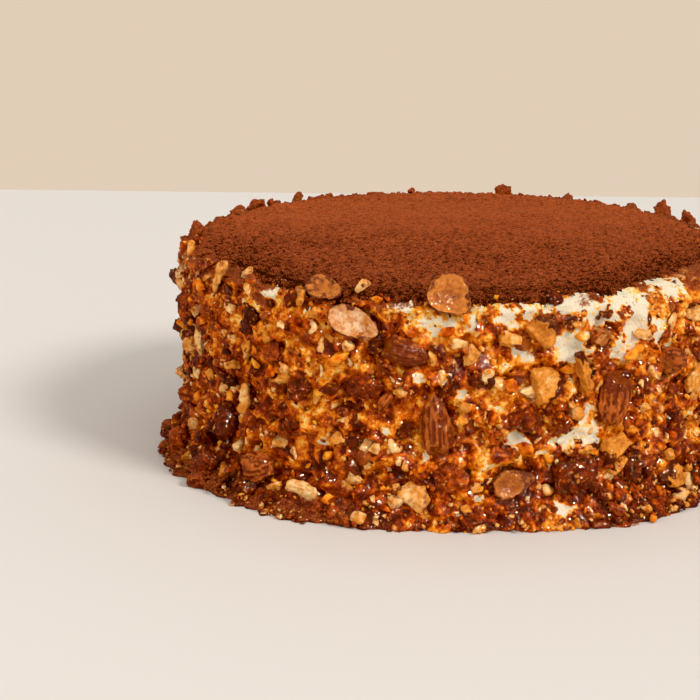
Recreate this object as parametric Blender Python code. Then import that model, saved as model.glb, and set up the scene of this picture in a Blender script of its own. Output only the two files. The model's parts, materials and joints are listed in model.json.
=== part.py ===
"""A whole tiramisu cake: round, coated in cream, under a layer of cocoa, its side set with caramelised almonds.

The cake stands on the XY plane with the centre of its foot at the origin and +Z up.
Angles are in degrees, anticlockwise from +X seen from above, so -90 is the front of the cake.
"""

import math
import random
from collections import namedtuple

import bmesh
import bpy
import numpy as np
from mathutils import Matrix, Vector, noise

MM = 0.001

# The cake under its toppings.
SIDE_RADIUS = 98 * MM
FOOT_FLARE = 3.5 * MM
FLARE_HEIGHT = 14 * MM
BODY_HEIGHT = 73.8 * MM
RIM_ROUNDING = 3.5 * MM
SIDE_SEGMENTS = 88
SIDE_RINGS = 11
CRAG_DEPTH = 2.6 * MM
CRAG_SIZE = 14 * MM
FINE_CRAG_SIZE = 5 * MM

# Crumbs that slid down and lie against the foot: angle, reach out from the side, half width in degrees.
HEAPS = (
    (-160, 8 * MM, 30),
    (-128, 7 * MM, 42),
    (-55, 6 * MM, 32),
    (18, 5 * MM, 16),
    (104, 6 * MM, 18),
)
HEAP_HEIGHT = 13 * MM

# The cocoa layer.
# How far out it reaches, as angle and radius in millimetres: to the rim, but well short of it at the right.
COCOA_REACH = (
    (-180, 93), (-150, 91.5), (-136, 94), (-61, 94), (-42, 87.5), (-30, 88), (-15, 92), (60, 93.5), (150, 93.5)
)
COCOA_WANDER = 1.2 * MM
COCOA_THICKNESS = 1.6 * MM
COCOA_EDGE_THICKNESS = 0.7 * MM
COCOA_SEGMENTS = 60
GAP = 0.35 * MM

# Pieces on the side. Sizes are length, width and thickness in millimetres, and turn is the length's angle
# above level, seen from outside. out is how far the middle stands out from the cream, lean tips the top inwards.
Piece = namedtuple("Piece", "kind angle height length width thickness turn out lean", defaults=(0.5, 0))

FRONT_LARGE = (
    Piece("slice", -111.4, 66.2, 18.5, 10.5, 6, -18, 1.0, 8),
    Piece("slice", -93.2, 76.5, 16, 12.5, 5, -36, 0.8, 22),
    Piece("slice", -117.6, 75.8, 14, 8.5, 5, -8, -0.2, 32),
    Piece("almond", -61, 41, 20.5, 12.5, 8, -94, 1.5),
    Piece("chunk", -75, 48.5, 14, 12.5, 9, 35, 1.5),
    Piece("shard", -68, 51.5, 14.5, 6, 6, 108, 2.0),
    Piece("chunk", -75.9, 65.2, 13, 11.5, 8, 60, 1.0),
    Piece("caramel", -79.5, 36.5, 12.5, 8.5, 7, -8, 1.0),
    Piece("almond", -46.5, 50, 14, 9, 8, -10, 1.5),
    Piece("chunk", -60, 24.5, 15, 8.5, 7, 26, 1.0),
    Piece("caramel", -68.8, 16.5, 17, 14, 9, 30, 1.0),
    Piece("chunk", -44.5, 9.5, 15, 9, 8, -22, 1.0),
    Piece("almond", -95.3, 33.6, 23, 10.5, 7, 94, 0.8),
    Piece("almond", -101.4, 58, 17, 9.5, 7, -12, 0.8),
    Piece("caramel", -109, 45.5, 13, 9.5, 7, 5, 0.8),
    Piece("chunk", -99.3, 10.5, 12.5, 10.5, 8, 80, 1.2),
    Piece("almond", -131.8, 12.5, 15, 11.5, 9, 12, 3.5),
    Piece("shard", -121.3, 8, 13.5, 8, 5.5, -4, 2.5),
    Piece("caramel", -123, 42, 11.5, 8.5, 7, 20, 0.8),
    Piece("caramel", -167.5, 54, 17, 8.5, 7, 83, 0.2),
    Piece("shard", -137, 33.5, 12, 5.5, 5, 78, 1.4),
    Piece("caramel", -147.5, 6.4, 17, 8.5, 8, 28, 4.7),
    Piece("caramel", -142.3, 24, 14, 10, 8, 78, 2.2),
    Piece("caramel", -92.5, 17, 12, 11.5, 6, 40, 0.3),
    Piece("slice", -80.7, 15, 13.5, 9.5, 5, 14, 0.6),
    Piece("caramel", -163, 6.5, 13, 10, 8, 30, 4.5),
)
FRONT_SMALL = (
    Piece("bit", -145.3, 72.5, 13, 6.5, 5, 76, 1.2),
    Piece("bit", -110, 76, 5.5, 5, 4.5, 30),
    Piece("bit", -123, 61.5, 8, 6, 5, 5),
    Piece("bit", -135.3, 61.5, 12.5, 9, 7, 70, 1.0),
    Piece("bit", -135.8, 50.5, 8, 6, 5, 60, 1.0),
    Piece("bit", -129.2, 52.5, 12, 9, 6.5, 80, 0.8),
    Piece("bit", -117.6, 56.5, 8, 4, 4, -70),
    Piece("bit", -112, 58, 6, 5, 4, 20),
    Piece("bit", -155, 47.5, 13, 4.5, 5, -62, 1.0),
    Piece("bit", -141, 43.5, 6.5, 5.5, 5, 40),
    Piece("bit", -127.5, 43.5, 9, 5, 4.5, 8),
    Piece("bit", -101.7, 45.5, 8.5, 5.5, 5, 5),
    Piece("bit", -128.3, 21, 8.5, 6.5, 5.5, 15),
    Piece("bit", -106.4, 24.5, 7, 5, 5, -25),
    Piece("bit", -110.8, 14.5, 8, 5.5, 5, 10),
    Piece("bit", -133, 4.8, 9, 7.5, 7, 80, 6.0),
    Piece("bit", -139.5, 4, 7, 6, 6, 40, 5.0),
    Piece("bit", -155, 5, 7, 5, 5, 20, 5.0),
    Piece("bit", -171, 5, 9, 8, 7, 20, 5.0),
    Piece("bit", -178, 4, 8, 7, 7, -20, 4.5),
    Piece("bit", -150, 15, 8, 7.5, 7, 20, 4.0),
    Piece("bit", -152.5, 74, 8, 7, 6, 20, 0.5, 15),
    Piece("bit", 180, 77, 9.5, 8.5, 8, 30, -3.5, 15),
    Piece("bit", -166.5, 74.5, 7, 5, 4.5, -50, 0.8, 15),
    Piece("bit", -82.4, 62.5, 8.5, 6, 5.5, -12, 1.0),
    Piece("bit", -64.4, 62.5, 7.5, 7, 6.5, 15, 1.2),
    Piece("bit", -89, 58.5, 10, 6.5, 5, 84),
    Piece("bit", -72, 38, 5.5, 4.5, 5, 80, 1.0),
    Piece("bit", -63.3, 69.5, 6, 4.5, 5, 0, 1.0),
    Piece("bit", -55, 60.5, 8.5, 6.5, 5, 6),
    Piece("bit", -77, 27.5, 7.5, 5, 4.5, 25),
    Piece("bit", -88, 13, 7, 6, 5, -60),
    Piece("bit", -45.5, 3.6, 9, 5.5, 6, 10, 3.0),
    Piece("bit", -73.5, 75, 7.5, 5, 5, 10),
    Piece("bit", -171.5, 76, 5.5, 5, 4.5, 0, 0.5, 10),
    Piece("bit", -136, 26.5, 11, 8.5, 6, 75, 0.8),
    Piece("bit", -124.8, 29, 9, 7, 5.5, 10),
    Piece("bit", -111.3, 27.3, 11, 6, 5.5, 60),
    Piece("bit", -101.5, 33, 9, 6.5, 5, 20, 0.3),
    Piece("bit", -106.5, 58.5, 8, 6, 5, 60),
    Piece("bit", -150, 59.3, 8, 7, 6, 40, 0.8),
    Piece("bit", -142, 63, 7, 5.5, 5, -30, 0.8),
    Piece("bit", -125.1, 71, 9, 6.5, 5, 75, 0.3),
    Piece("bit", -51.8, 15.6, 11, 8, 6, 25, 0.8),
    Piece("bit", -43.8, 27, 10, 10, 6, 60, 0.8),
    Piece("bit", -81, 49.3, 8, 4.5, 4.5, -5),
    Piece("bit", -78.9, 45.5, 8, 5, 4.5, -25),
    Piece("bit", -66.3, 24.2, 6.5, 5.5, 5, -20),
)
# Lumps on the far part of the rim, which stand above the cocoa.
RIM_LUMPS = tuple(
    Piece("bit", angle, 75, length, 8, 7, 65, -1.0 - inset, 10)
    for angle, length, inset in (
        (77, 12, 3.5), (34, 12, 0), (25, 13, 0), (121, 8, 1),
        (138, 9, 0), (152, 9, 0), (100, 7, 0), (-20, 8, 0),
    )
)

# Large pieces the rest of the way round, and small ones in the gaps all round, by rule.
BACK_FROM, BACK_TO = -36, 184
BACK_LARGE_COUNT = 15
LARGE_SPACING = 19 * MM
GAP_SMALL_COUNT = 38
SMALL_SPACING = 11 * MM
SEED = 11


def remove_everything():
    for obj in list(bpy.data.objects):
        bpy.data.objects.remove(obj)


def finish(name, colour, roughness):
    """A Principled material of one colour."""
    material = bpy.data.materials.new(name)
    material.use_nodes = True
    shader = material.node_tree.nodes["Principled BSDF"]
    shader.inputs["Base Color"].default_value = (*colour, 1)
    shader.inputs["Roughness"].default_value = roughness
    shader.inputs["Metallic"].default_value = 0
    return material


def new_object(name, bm, material, smooth_below=20):
    mesh = bpy.data.meshes.new(name)
    bm.to_mesh(mesh)
    bm.free()
    mesh.materials.append(material)
    mesh.shade_smooth()
    mesh.set_sharp_from_angle(angle=math.radians(smooth_below))
    obj = bpy.data.objects.new(name, mesh)
    bpy.context.scene.collection.objects.link(obj)
    return obj


def heap_reach(angle, height):
    """How far the crumbs heaped at the foot stand out from the side."""
    if height >= HEAP_HEIGHT:
        return 0
    reach = 0
    for middle, out, half_width in HEAPS:
        away = abs((angle - middle + 180) % 360 - 180)
        if away < half_width:
            reach = max(reach, out * (0.5 + 0.5 * math.cos(math.pi * away / half_width)))
    return reach * (1 - height / HEAP_HEIGHT) ** 1.6


def side_radius(height):
    """The cream's radius at a height, without its crags: flared at the foot, rounded at the rim."""
    radius = SIDE_RADIUS
    if height < FLARE_HEIGHT:
        radius += FOOT_FLARE * (1 - height / FLARE_HEIGHT) ** 2
    below_top = BODY_HEIGHT - height
    if below_top < RIM_ROUNDING:
        radius -= RIM_ROUNDING - math.sqrt(RIM_ROUNDING**2 - (RIM_ROUNDING - below_top) ** 2)
    return radius


def crags(point):
    """The uneven surface that fine praline leaves, from about -1 to 1."""
    broad = noise.noise(point / CRAG_SIZE)
    fine = noise.noise(point / FINE_CRAG_SIZE)
    return 0.5 * broad + 1.5 * fine


def side_point(angle, height):
    around = Vector((math.cos(math.radians(angle)), math.sin(math.radians(angle)), 0))
    radius = side_radius(height) + heap_reach(angle, height)
    point = around * radius + Vector((0, 0, height))
    fade = min(1, (BODY_HEIGHT - height) / (2 * MM))
    return point + around * CRAG_DEPTH * crags(point) * fade


def body_heights():
    """Heights of the rings: even up the side, then two round the rim."""
    last = BODY_HEIGHT - RIM_ROUNDING
    even = [last * i / (SIDE_RINGS - 1) for i in range(SIDE_RINGS)]
    return even + [BODY_HEIGHT - 0.25 * RIM_ROUNDING, BODY_HEIGHT]


def cake_body(material):
    bm = bmesh.new()
    rings = []
    for level, height in enumerate(body_heights()):
        shift = 0.5 * (level % 2)
        angles = [360 * (i + shift) / SIDE_SEGMENTS for i in range(SIDE_SEGMENTS)]
        rings.append([bm.verts.new(side_point(angle, height)) for angle in angles])
    for level, (low, high) in enumerate(zip(rings, rings[1:])):
        for i in range(SIDE_SEGMENTS):
            j = (i + 1) % SIDE_SEGMENTS
            if level % 2:
                bm.faces.new((low[i], low[j], high[j]))
                bm.faces.new((low[i], high[j], high[i]))
            else:
                bm.faces.new((low[i], low[j], high[i]))
                bm.faces.new((low[j], high[j], high[i]))
    bm.faces.new(reversed(rings[0]))
    bm.faces.new(rings[-1])
    return new_object("cake", bm, material)


def cocoa_reach(angle):
    angles, reaches = zip(*COCOA_REACH)
    return np.interp(math.degrees(angle), angles, reaches, period=360) * MM


def cocoa_layer(material):
    """A thin disc of cocoa with a wandering edge, a little uneven on top."""
    bm = bmesh.new()
    base = BODY_HEIGHT + GAP
    shares = (1.0, 0.97, 0.6)
    rings = []
    for i in range(COCOA_SEGMENTS):
        angle = 2 * math.pi * i / COCOA_SEGMENTS
        around = Vector((math.cos(angle), math.sin(angle), 0))
        reach = cocoa_reach(angle) + COCOA_WANDER * noise.noise(around * 6)
        column = [bm.verts.new(around * reach + Vector((0, 0, base)))]
        for share in shares:
            inward = min(1, (1 - share) / 0.07)
            thick = COCOA_EDGE_THICKNESS + (COCOA_THICKNESS - COCOA_EDGE_THICKNESS) * inward
            spot = around * reach * share
            thick += 0.2 * MM * noise.noise(spot / (20 * MM)) * inward
            column.append(bm.verts.new(spot + Vector((0, 0, base + thick))))
        rings.append(column)
    for i in range(COCOA_SEGMENTS):
        this, following = rings[i], rings[(i + 1) % COCOA_SEGMENTS]
        for k in range(len(shares)):
            bm.faces.new((this[k], following[k], following[k + 1], this[k + 1]))
    centre = bm.verts.new((0, 0, base + COCOA_THICKNESS))
    for i in range(COCOA_SEGMENTS):
        bm.faces.new((rings[i][-1], rings[(i + 1) % COCOA_SEGMENTS][-1], centre))
    bm.faces.new([column[0] for column in reversed(rings)])
    return new_object("cocoa_layer", bm, material)


def cut_flat(bm, point, normal):
    """Takes away what lies beyond a plane and closes the cut."""
    everything = bm.verts[:] + bm.edges[:] + bm.faces[:]
    bmesh.ops.bisect_plane(bm, geom=everything, plane_co=point, plane_no=normal, clear_outer=True)
    open_edges = [edge for edge in bm.edges if edge.is_boundary]
    bmesh.ops.holes_fill(bm, edges=open_edges)


def nut_form(piece, rng):
    """The piece lying along X with its outer side to +Z, centred on the origin."""
    bm = bmesh.new()
    if piece.kind == "bit":
        bmesh.ops.create_icosphere(bm, subdivisions=1, radius=1)
    else:
        around, along = (8, 6) if piece.kind in ("slice", "almond") else (7, 5)
        bmesh.ops.create_uvsphere(bm, u_segments=around, v_segments=along, radius=1)
        bmesh.ops.rotate(bm, verts=bm.verts[:], matrix=Matrix.Rotation(math.pi / 2, 3, "Y"))
    roughness = {"bit": 0.22, "caramel": 0.12, "chunk": 0.08}.get(piece.kind, 0.03)
    for vert in bm.verts:
        if piece.kind in ("almond", "slice", "chunk"):
            vert.co.yz *= 1.04 - 0.22 * vert.co.x
        vert.co *= 1 + roughness * rng.uniform(-1, 1)
    tip = rng.uniform(-0.18, 0.18)
    if piece.kind == "slice":
        cut_flat(bm, (0, 0, 0.18), (tip, 0.1, 1))
    elif piece.kind == "chunk":
        cut_flat(bm, (0, 0, 0.52), (tip, 0.22, 1))
        cut_flat(bm, (0.62, 0, 0), (1, 0.3 + tip, 0.15))
        cut_flat(bm, (-0.6, 0, 0), (-1, 0.35, 0.2 + tip))
    elif piece.kind == "shard":
        cut_flat(bm, (0, 0, 0.4), (0.1, -0.35, 1))
        cut_flat(bm, (0, 0.5, 0), (tip, 1, 0.3))
    elif piece.kind == "almond":
        cut_flat(bm, (-0.75, 0, 0), (-1, tip, 0.3))
    size = Vector((piece.length, piece.width, piece.thickness)) * 0.5 * MM
    bmesh.ops.scale(bm, verts=bm.verts[:], vec=size)
    bmesh.ops.triangulate(bm, faces=bm.faces[:])
    return bm


def placing(piece):
    """From the piece's own frame to its place on the cake's side."""
    turn, around = math.radians(piece.turn), math.radians(piece.angle)
    outward = Vector((math.cos(around), math.sin(around), 0))
    right = Vector((-math.sin(around), math.cos(around), 0))
    upward = Vector((0, 0, 1))
    along = right * math.cos(turn) + upward * math.sin(turn)
    across = outward.cross(along)
    axes = Matrix((along, across, outward)).transposed()
    tipped = Matrix.Rotation(math.radians(-piece.lean), 3, right) @ axes
    height = piece.height * MM
    radius = side_radius(min(height, BODY_HEIGHT - RIM_ROUNDING)) + piece.out * MM
    return Matrix.Translation(outward * radius + upward * height) @ tipped.to_4x4()


def nut(name, piece, rng, material):
    bm = nut_form(piece, rng)
    bmesh.ops.transform(bm, matrix=placing(piece), verts=bm.verts[:])
    return new_object(name, bm, material)


def pocket_cutter(piece_object):
    """The piece made larger all round by the gap, to cut the pocket that it sits in."""
    bm = bmesh.new()
    bm.from_mesh(piece_object.data)
    bm.normal_update()
    moves = [vert.normal * vert.calc_shell_factor() * GAP for vert in bm.verts]
    for vert, move in zip(bm.verts, moves):
        vert.co += move
    return new_object("cutter_" + piece_object.name, bm, piece_object.data.materials[0])


def arc_distance(a, b):
    """Distance between two pieces' middles over the cake's side."""
    turn = math.radians((a.angle - b.angle + 180) % 360 - 180)
    return math.hypot(turn * SIDE_RADIUS, (a.height - b.height) * MM)


def spread(count, spacing, taken, angles, rng, make):
    """Pieces made at random places between two angles, each clear of those already there."""
    found = []
    while len(found) < count:
        piece = make(rng.uniform(*angles), rng)
        if all(arc_distance(piece, other) > spacing for other in taken + found):
            found.append(piece)
    return found


def random_large(angle, rng):
    kind = rng.choice(("slice", "chunk", "chunk", "almond", "caramel", "shard"))
    length = rng.uniform(12, 19)
    width = length * (0.42 if kind == "shard" else rng.uniform(0.55, 0.8))
    thickness = rng.uniform(5.5, 8)
    height, turn, out = rng.uniform(10, 66), rng.uniform(-90, 90), rng.uniform(0.6, 1.6)
    return Piece(kind, angle, height, length, width, thickness, turn, out)


def random_small(angle, rng):
    length = rng.uniform(7, 11)
    width = length * rng.uniform(0.6, 0.9)
    return Piece("bit", angle, rng.uniform(5, 71), length, width, 6.5, rng.uniform(-90, 90), 1.0)


def boolean(obj, operation, operands, solver="MANIFOLD"):
    """Joins the operands to obj, or cuts them from it, then applies that and removes them."""
    collection = bpy.data.collections.new("operands")
    bpy.context.scene.collection.children.link(collection)
    for operand in operands:
        bpy.context.scene.collection.objects.unlink(operand)
        collection.objects.link(operand)
    modifier = obj.modifiers.new(operation.lower(), "BOOLEAN")
    modifier.operation = operation
    modifier.operand_type = "COLLECTION"
    modifier.collection = collection
    modifier.solver = solver
    bpy.context.view_layer.update()
    graph = bpy.context.evaluated_depsgraph_get()
    mesh = bpy.data.meshes.new_from_object(obj.evaluated_get(graph))
    obj.modifiers.clear()
    obj.data = mesh
    for operand in operands:
        bpy.data.objects.remove(operand)
    bpy.data.collections.remove(collection)


def keep_largest(obj):
    """Drops loose scraps and the walls of hollows that the joining sealed."""
    bm = bmesh.new()
    bm.from_mesh(obj.data)
    left, islands = set(bm.faces), []
    while left:
        island, front = set(), [left.pop()]
        while front:
            face = front.pop()
            island.add(face)
            for edge in face.edges:
                for other in edge.link_faces:
                    if other in left:
                        left.remove(other)
                        front.append(other)
        islands.append(island)
    keep = max(islands, key=len)
    loose = [face for face in bm.faces if face not in keep]
    bmesh.ops.delete(bm, geom=loose, context="FACES")
    bm.to_mesh(obj.data)
    bm.free()


def main():
    remove_everything()
    cream = finish("cream", (0.86, 0.77, 0.58), 0.5)
    cocoa = finish("cocoa", (0.16, 0.045, 0.018), 0.95)
    skins = {
        "slice": finish("cut_almond", (0.62, 0.35, 0.15), 0.45),
        "chunk": finish("toasted_almond", (0.50, 0.22, 0.07), 0.45),
        "almond": finish("almond_skin", (0.17, 0.045, 0.018), 0.4),
        "caramel": finish("dark_caramel", (0.13, 0.025, 0.008), 0.2),
    }
    skins["shard"] = skins["chunk"]

    rng = random.Random(SEED)
    large = list(FRONT_LARGE)
    small = list(FRONT_SMALL) + list(RIM_LUMPS)
    back = (BACK_FROM, BACK_TO)
    large += spread(BACK_LARGE_COUNT, LARGE_SPACING, large + list(RIM_LUMPS), back, rng, random_large)
    small += spread(GAP_SMALL_COUNT, SMALL_SPACING, large + small, (-180, 180), rng, random_small)

    body = cake_body(cream)
    layer = cocoa_layer(cocoa)
    bits = [nut(f"bit_{i:02d}", piece, rng, cream) for i, piece in enumerate(small)]
    near_cocoa = [bit for bit, piece in zip(bits, small) if piece.height > 70]
    layer_cutters = [pocket_cutter(bit) for bit in near_cocoa]
    boolean(body, "UNION", bits)

    nuts = [nut(f"{piece.kind}_{i + 1:02d}", piece, rng, skins[piece.kind]) for i, piece in enumerate(large)]
    boolean(body, "DIFFERENCE", [pocket_cutter(each) for each in nuts])
    boolean(layer, "DIFFERENCE", layer_cutters + [pocket_cutter(each) for each in nuts])
    keep_largest(body)
    keep_largest(layer)


main()
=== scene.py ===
"""The looks of a whole tiramisu cake: cocoa on top, its side coated in cream and chopped caramelised almonds.

Angles are in degrees, anticlockwise from +X seen from above, so -90 faces the camera. Heights are above the
surface that the cake stands on.
"""

import json
import math
import random
from collections import namedtuple

import bpy
import numpy as np
from mathutils import Matrix, Vector, kdtree, noise

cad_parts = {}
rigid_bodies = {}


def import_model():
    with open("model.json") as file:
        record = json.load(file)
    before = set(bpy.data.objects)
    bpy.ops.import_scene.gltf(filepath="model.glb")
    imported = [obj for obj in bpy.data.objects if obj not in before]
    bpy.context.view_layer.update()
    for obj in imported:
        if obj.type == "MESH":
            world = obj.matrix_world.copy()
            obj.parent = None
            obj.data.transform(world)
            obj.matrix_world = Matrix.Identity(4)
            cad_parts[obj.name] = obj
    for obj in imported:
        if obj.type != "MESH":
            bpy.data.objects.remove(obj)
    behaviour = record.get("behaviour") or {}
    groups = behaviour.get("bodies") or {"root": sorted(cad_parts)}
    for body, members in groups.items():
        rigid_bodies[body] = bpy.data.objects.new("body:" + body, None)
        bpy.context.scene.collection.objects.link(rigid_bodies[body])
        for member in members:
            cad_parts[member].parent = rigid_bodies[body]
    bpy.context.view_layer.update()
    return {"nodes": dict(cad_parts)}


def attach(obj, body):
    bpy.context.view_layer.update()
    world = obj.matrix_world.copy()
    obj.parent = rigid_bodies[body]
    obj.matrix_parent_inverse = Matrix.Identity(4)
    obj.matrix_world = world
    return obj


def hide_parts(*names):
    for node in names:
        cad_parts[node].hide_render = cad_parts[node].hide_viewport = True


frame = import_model()

MM = 0.001

# The cake's body, as its solid has it.
SIDE_RADIUS = 98 * MM
FOOT_FLARE = 3.5 * MM
FLARE_HEIGHT = 14 * MM
BODY_HEIGHT = 73.8 * MM
RIM_ROUNDING = 3.5 * MM
CRAG_DEPTH = 2.6 * MM
CRAG_SIZE = 14 * MM
FINE_CRAG_SIZE = 5 * MM
HEAPS = (
    (-160, 8 * MM, 30),
    (-128, 7 * MM, 42),
    (-55, 6 * MM, 32),
    (18, 5 * MM, 16),
    (104, 6 * MM, 18),
)
HEAP_HEIGHT = 13 * MM

# Lengths below this count as none. Between these radii the top gives way to the side.
TINY = 0.01 * MM
SIDE_BEGINS = (90 * MM, 94 * MM)

# A chip is left out unless some of it is this far above the floor. What reaches below the floor is drawn in
# by so many times its depth.
LEAST_ABOVE_FLOOR = 0.3 * MM
DRAWN_IN = 1.5

# The cream's mesh.
COAT_SEGMENTS = 800
COAT_CUTS = 92
RIM_RINGS = 10
RIM_RING_WIDTH = 1.1 * MM
# Its clumps, and how deep it is sunk round the large pieces and under the slices.
CLUMP_DEPTH = 1.6 * MM
SUNK_ROUND_PIECES = 0.9 * MM
SUNK_UNDER_SLICES = 3.5 * MM

# How caramel gathers on the cream round the pieces: how far from them, how much darker it makes the cream,
# partly as caramel and partly as painted contact shade, and how far the cream is drawn up to them.
POOL_REACH = 1.5 * MM
POOL_STAIN_AND_SHADE = 0.25
POOL_CLIMB = 0.35 * MM

# The cocoa layer.
COCOA_TOP = 75.4 * MM
COCOA_SKIN = 1.2 * MM
COCOA_EDGE_DEPTH = 1.3 * MM
COCOA_HALF_SIZE = 99 * MM
COCOA_GRID = 352
# How far out it reaches, as angle and radius in millimetres: over the rim at the front, short of it at the
# right.
COCOA_REACH = (
    (-180, 93), (-150, 91.5), (-136, 95.5), (-124, 97.3), (-108, 97), (-92, 97.3), (-84, 95.5), (-75, 96.5),
    (-68, 93), (-61, 95), (-52, 91.5), (-42, 87.5), (-30, 88), (-15, 92), (30, 91.5), (60, 94.5), (120, 93),
    (150, 94.5),
)
# Where it is banked up behind pieces on the rim, or has holes in it: place and height, in metres.
COCOA_BANKS = ((-0.0053, -0.0905, 3.5 * MM), (-0.0432, -0.0795, 3 * MM))
BANK_WIDTH = 3.2 * MM
COCOA_HOLES = (
    (-0.0578, -0.0700, -1.6 * MM),
    (-0.0545, -0.0745, -1.2 * MM),
    (-0.0745, -0.0505, -1.5 * MM),
    (-0.0670, -0.0600, -1.2 * MM),
    (-0.0640, -0.0660, -1.0 * MM),
    (-0.0265, -0.0885, -1.2 * MM),
    (0.0420, -0.0830, -1.2 * MM),
)
HOLE_WIDTH = 1.3 * MM

Piece = namedtuple("Piece", "kind angle height length width thickness turn out lean", defaults=(0.5, 0))

# The large pieces, each a solid of its own, as placed there. Sizes are in millimetres.
FRONT_LARGE = (
    Piece("slice", -111.4, 66.2, 18.5, 10.5, 6, -18, 1.0, 8),
    Piece("slice", -93.2, 76.5, 16, 12.5, 5, -36, 0.8, 22),
    Piece("slice", -117.6, 75.8, 14, 8.5, 5, -8, -0.2, 32),
    Piece("almond", -61, 41, 20.5, 12.5, 8, -94, 1.5),
    Piece("chunk", -75, 48.5, 14, 12.5, 9, 35, 1.5),
    Piece("shard", -68, 51.5, 14.5, 6, 6, 108, 2.0),
    Piece("chunk", -75.9, 65.2, 13, 11.5, 8, 60, 1.0),
    Piece("caramel", -79.5, 36.5, 12.5, 8.5, 7, -8, 1.0),
    Piece("almond", -46.5, 50, 14, 9, 8, -10, 1.5),
    Piece("chunk", -60, 24.5, 15, 8.5, 7, 26, 1.0),
    Piece("caramel", -68.8, 16.5, 17, 14, 9, 30, 1.0),
    Piece("chunk", -44.5, 9.5, 15, 9, 8, -22, 1.0),
    Piece("almond", -95.3, 33.6, 23, 10.5, 7, 94, 0.8),
    Piece("almond", -101.4, 58, 17, 9.5, 7, -12, 0.8),
    Piece("caramel", -109, 45.5, 13, 9.5, 7, 5, 0.8),
    Piece("chunk", -99.3, 10.5, 12.5, 10.5, 8, 80, 1.2),
    Piece("almond", -131.8, 12.5, 15, 11.5, 9, 12, 3.5),
    Piece("shard", -121.3, 8, 13.5, 8, 5.5, -4, 2.5),
    Piece("caramel", -123, 42, 11.5, 8.5, 7, 20, 0.8),
    Piece("caramel", -167.5, 54, 17, 8.5, 7, 83, 0.2),
    Piece("shard", -137, 33.5, 12, 5.5, 5, 78, 1.4),
    Piece("caramel", -147.5, 6.4, 17, 8.5, 8, 28, 4.7),
    Piece("caramel", -142.3, 24, 14, 10, 8, 78, 2.2),
    Piece("caramel", -92.5, 17, 12, 11.5, 6, 40, 0.3),
    Piece("slice", -80.7, 15, 13.5, 9.5, 5, 14, 0.6),
    Piece("caramel", -163, 6.5, 13, 10, 8, 30, 4.5),
)
# The small pieces that the body's solid has fused to it, now with what each one is.
FRONT_SMALL = (
    Piece("tan", -145.3, 72.5, 13, 6.5, 5, 76, 1.2),
    Piece("tan", -110.8, 77, 6, 5, 4.5, 60, -4.5),
    Piece("amber", -123, 61.5, 8, 6, 5, 5),
    Piece("dark", -135.3, 61.5, 12.5, 9, 7, 70, 1.0),
    Piece("tan", -135.8, 50.5, 8, 6, 5, 60, 1.0),
    Piece("dark", -129.2, 52.5, 12, 9, 6.5, 80, 0.8),
    Piece("tan", -117.6, 56.5, 8, 4, 4, -70),
    Piece("tan", -112, 58, 6, 5, 4, 20),
    Piece("tan", -155, 47.5, 13, 4.5, 5, -62, 1.0),
    Piece("tan", -141, 43.5, 6.5, 5.5, 5, 40),
    Piece("tan", -127.5, 43.5, 9, 5, 4.5, 8),
    Piece("tan", -101.7, 45.5, 8.5, 5.5, 5, 5),
    Piece("tan", -128.3, 21, 8.5, 6.5, 5.5, 15),
    Piece("tan", -106.4, 24.5, 7, 5, 5, -25),
    Piece("tan", -110.8, 14.5, 8, 5.5, 5, 10),
    Piece("dark", -133, 4.8, 9, 7.5, 7, 80, 6.0),
    Piece("dark", -139.5, 4, 7, 6, 6, 40, 5.0),
    Piece("tan", -155, 5, 7, 5, 5, 20, 5.0),
    Piece("dark", -171, 5, 9, 8, 7, 20, 5.0),
    Piece("skin", -178, 4, 8, 7, 7, -20, 4.5),
    Piece("dark", -150, 15, 8, 7.5, 7, 20, 4.0),
    Piece("dark", -152.5, 74, 8, 7, 6, 20, 0.5, 15),
    Piece("dark", 180, 77, 9.5, 8.5, 8, 30, -3.5, 15),
    Piece("tan", -166.5, 74.5, 7, 5, 4.5, -50, -0.8, 15),
    Piece("tan", -82.4, 62.5, 8.5, 6, 5.5, -12, 1.0),
    Piece("skin", -64.4, 62.5, 7.5, 7, 6.5, 15, 1.2),
    Piece("tan", -89, 58.5, 10, 6.5, 5, 84),
    Piece("dark", -72, 38, 5.5, 4.5, 5, 80, 1.0),
    Piece("dark", -63.3, 69.5, 6, 4.5, 5, 0, 1.0),
    Piece("tan", -55, 60.5, 8.5, 6.5, 5, 6),
    Piece("tan", -77, 27.5, 7.5, 5, 4.5, 25),
    Piece("tan", -88, 13, 7, 6, 5, -60),
    Piece("tan", -45.5, 3.6, 9, 5.5, 6, 10, 3.0),
    Piece("dark", -73.5, 75, 7.5, 5, 5, 10, -2.5),
    Piece("dark", -171.5, 76, 5.5, 5, 4.5, 0, -3.5, 10),
    Piece("dark", -136, 26.5, 11, 8.5, 6, 75, 0.8),
    Piece("dark", -124.8, 29, 9, 7, 5.5, 10),
    Piece("dark", -111.3, 27.3, 11, 6, 5.5, 60),
    Piece("dark", -101.5, 33, 9, 6.5, 5, 20, 0.3),
    Piece("dark", -106.5, 58.5, 8, 6, 5, 60),
    Piece("dark", -150, 59.3, 8, 7, 6, 40, 0.8),
    Piece("tan", -142, 63, 7, 5.5, 5, -30, 0.8),
    Piece("dark", -125.1, 71, 9, 6.5, 5, 75, 0.3),
    Piece("dark", -51.8, 15.6, 11, 8, 6, 25, 0.8),
    Piece("dark", -43.8, 27, 10, 10, 6, 60, 0.8),
    Piece("dark", -81, 49.3, 8, 4.5, 4.5, -5),
    Piece("tan", -78.9, 45.5, 8, 5, 4.5, -25),
    Piece("tan", -66.3, 24.2, 6.5, 5.5, 5, -20),
)
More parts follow.
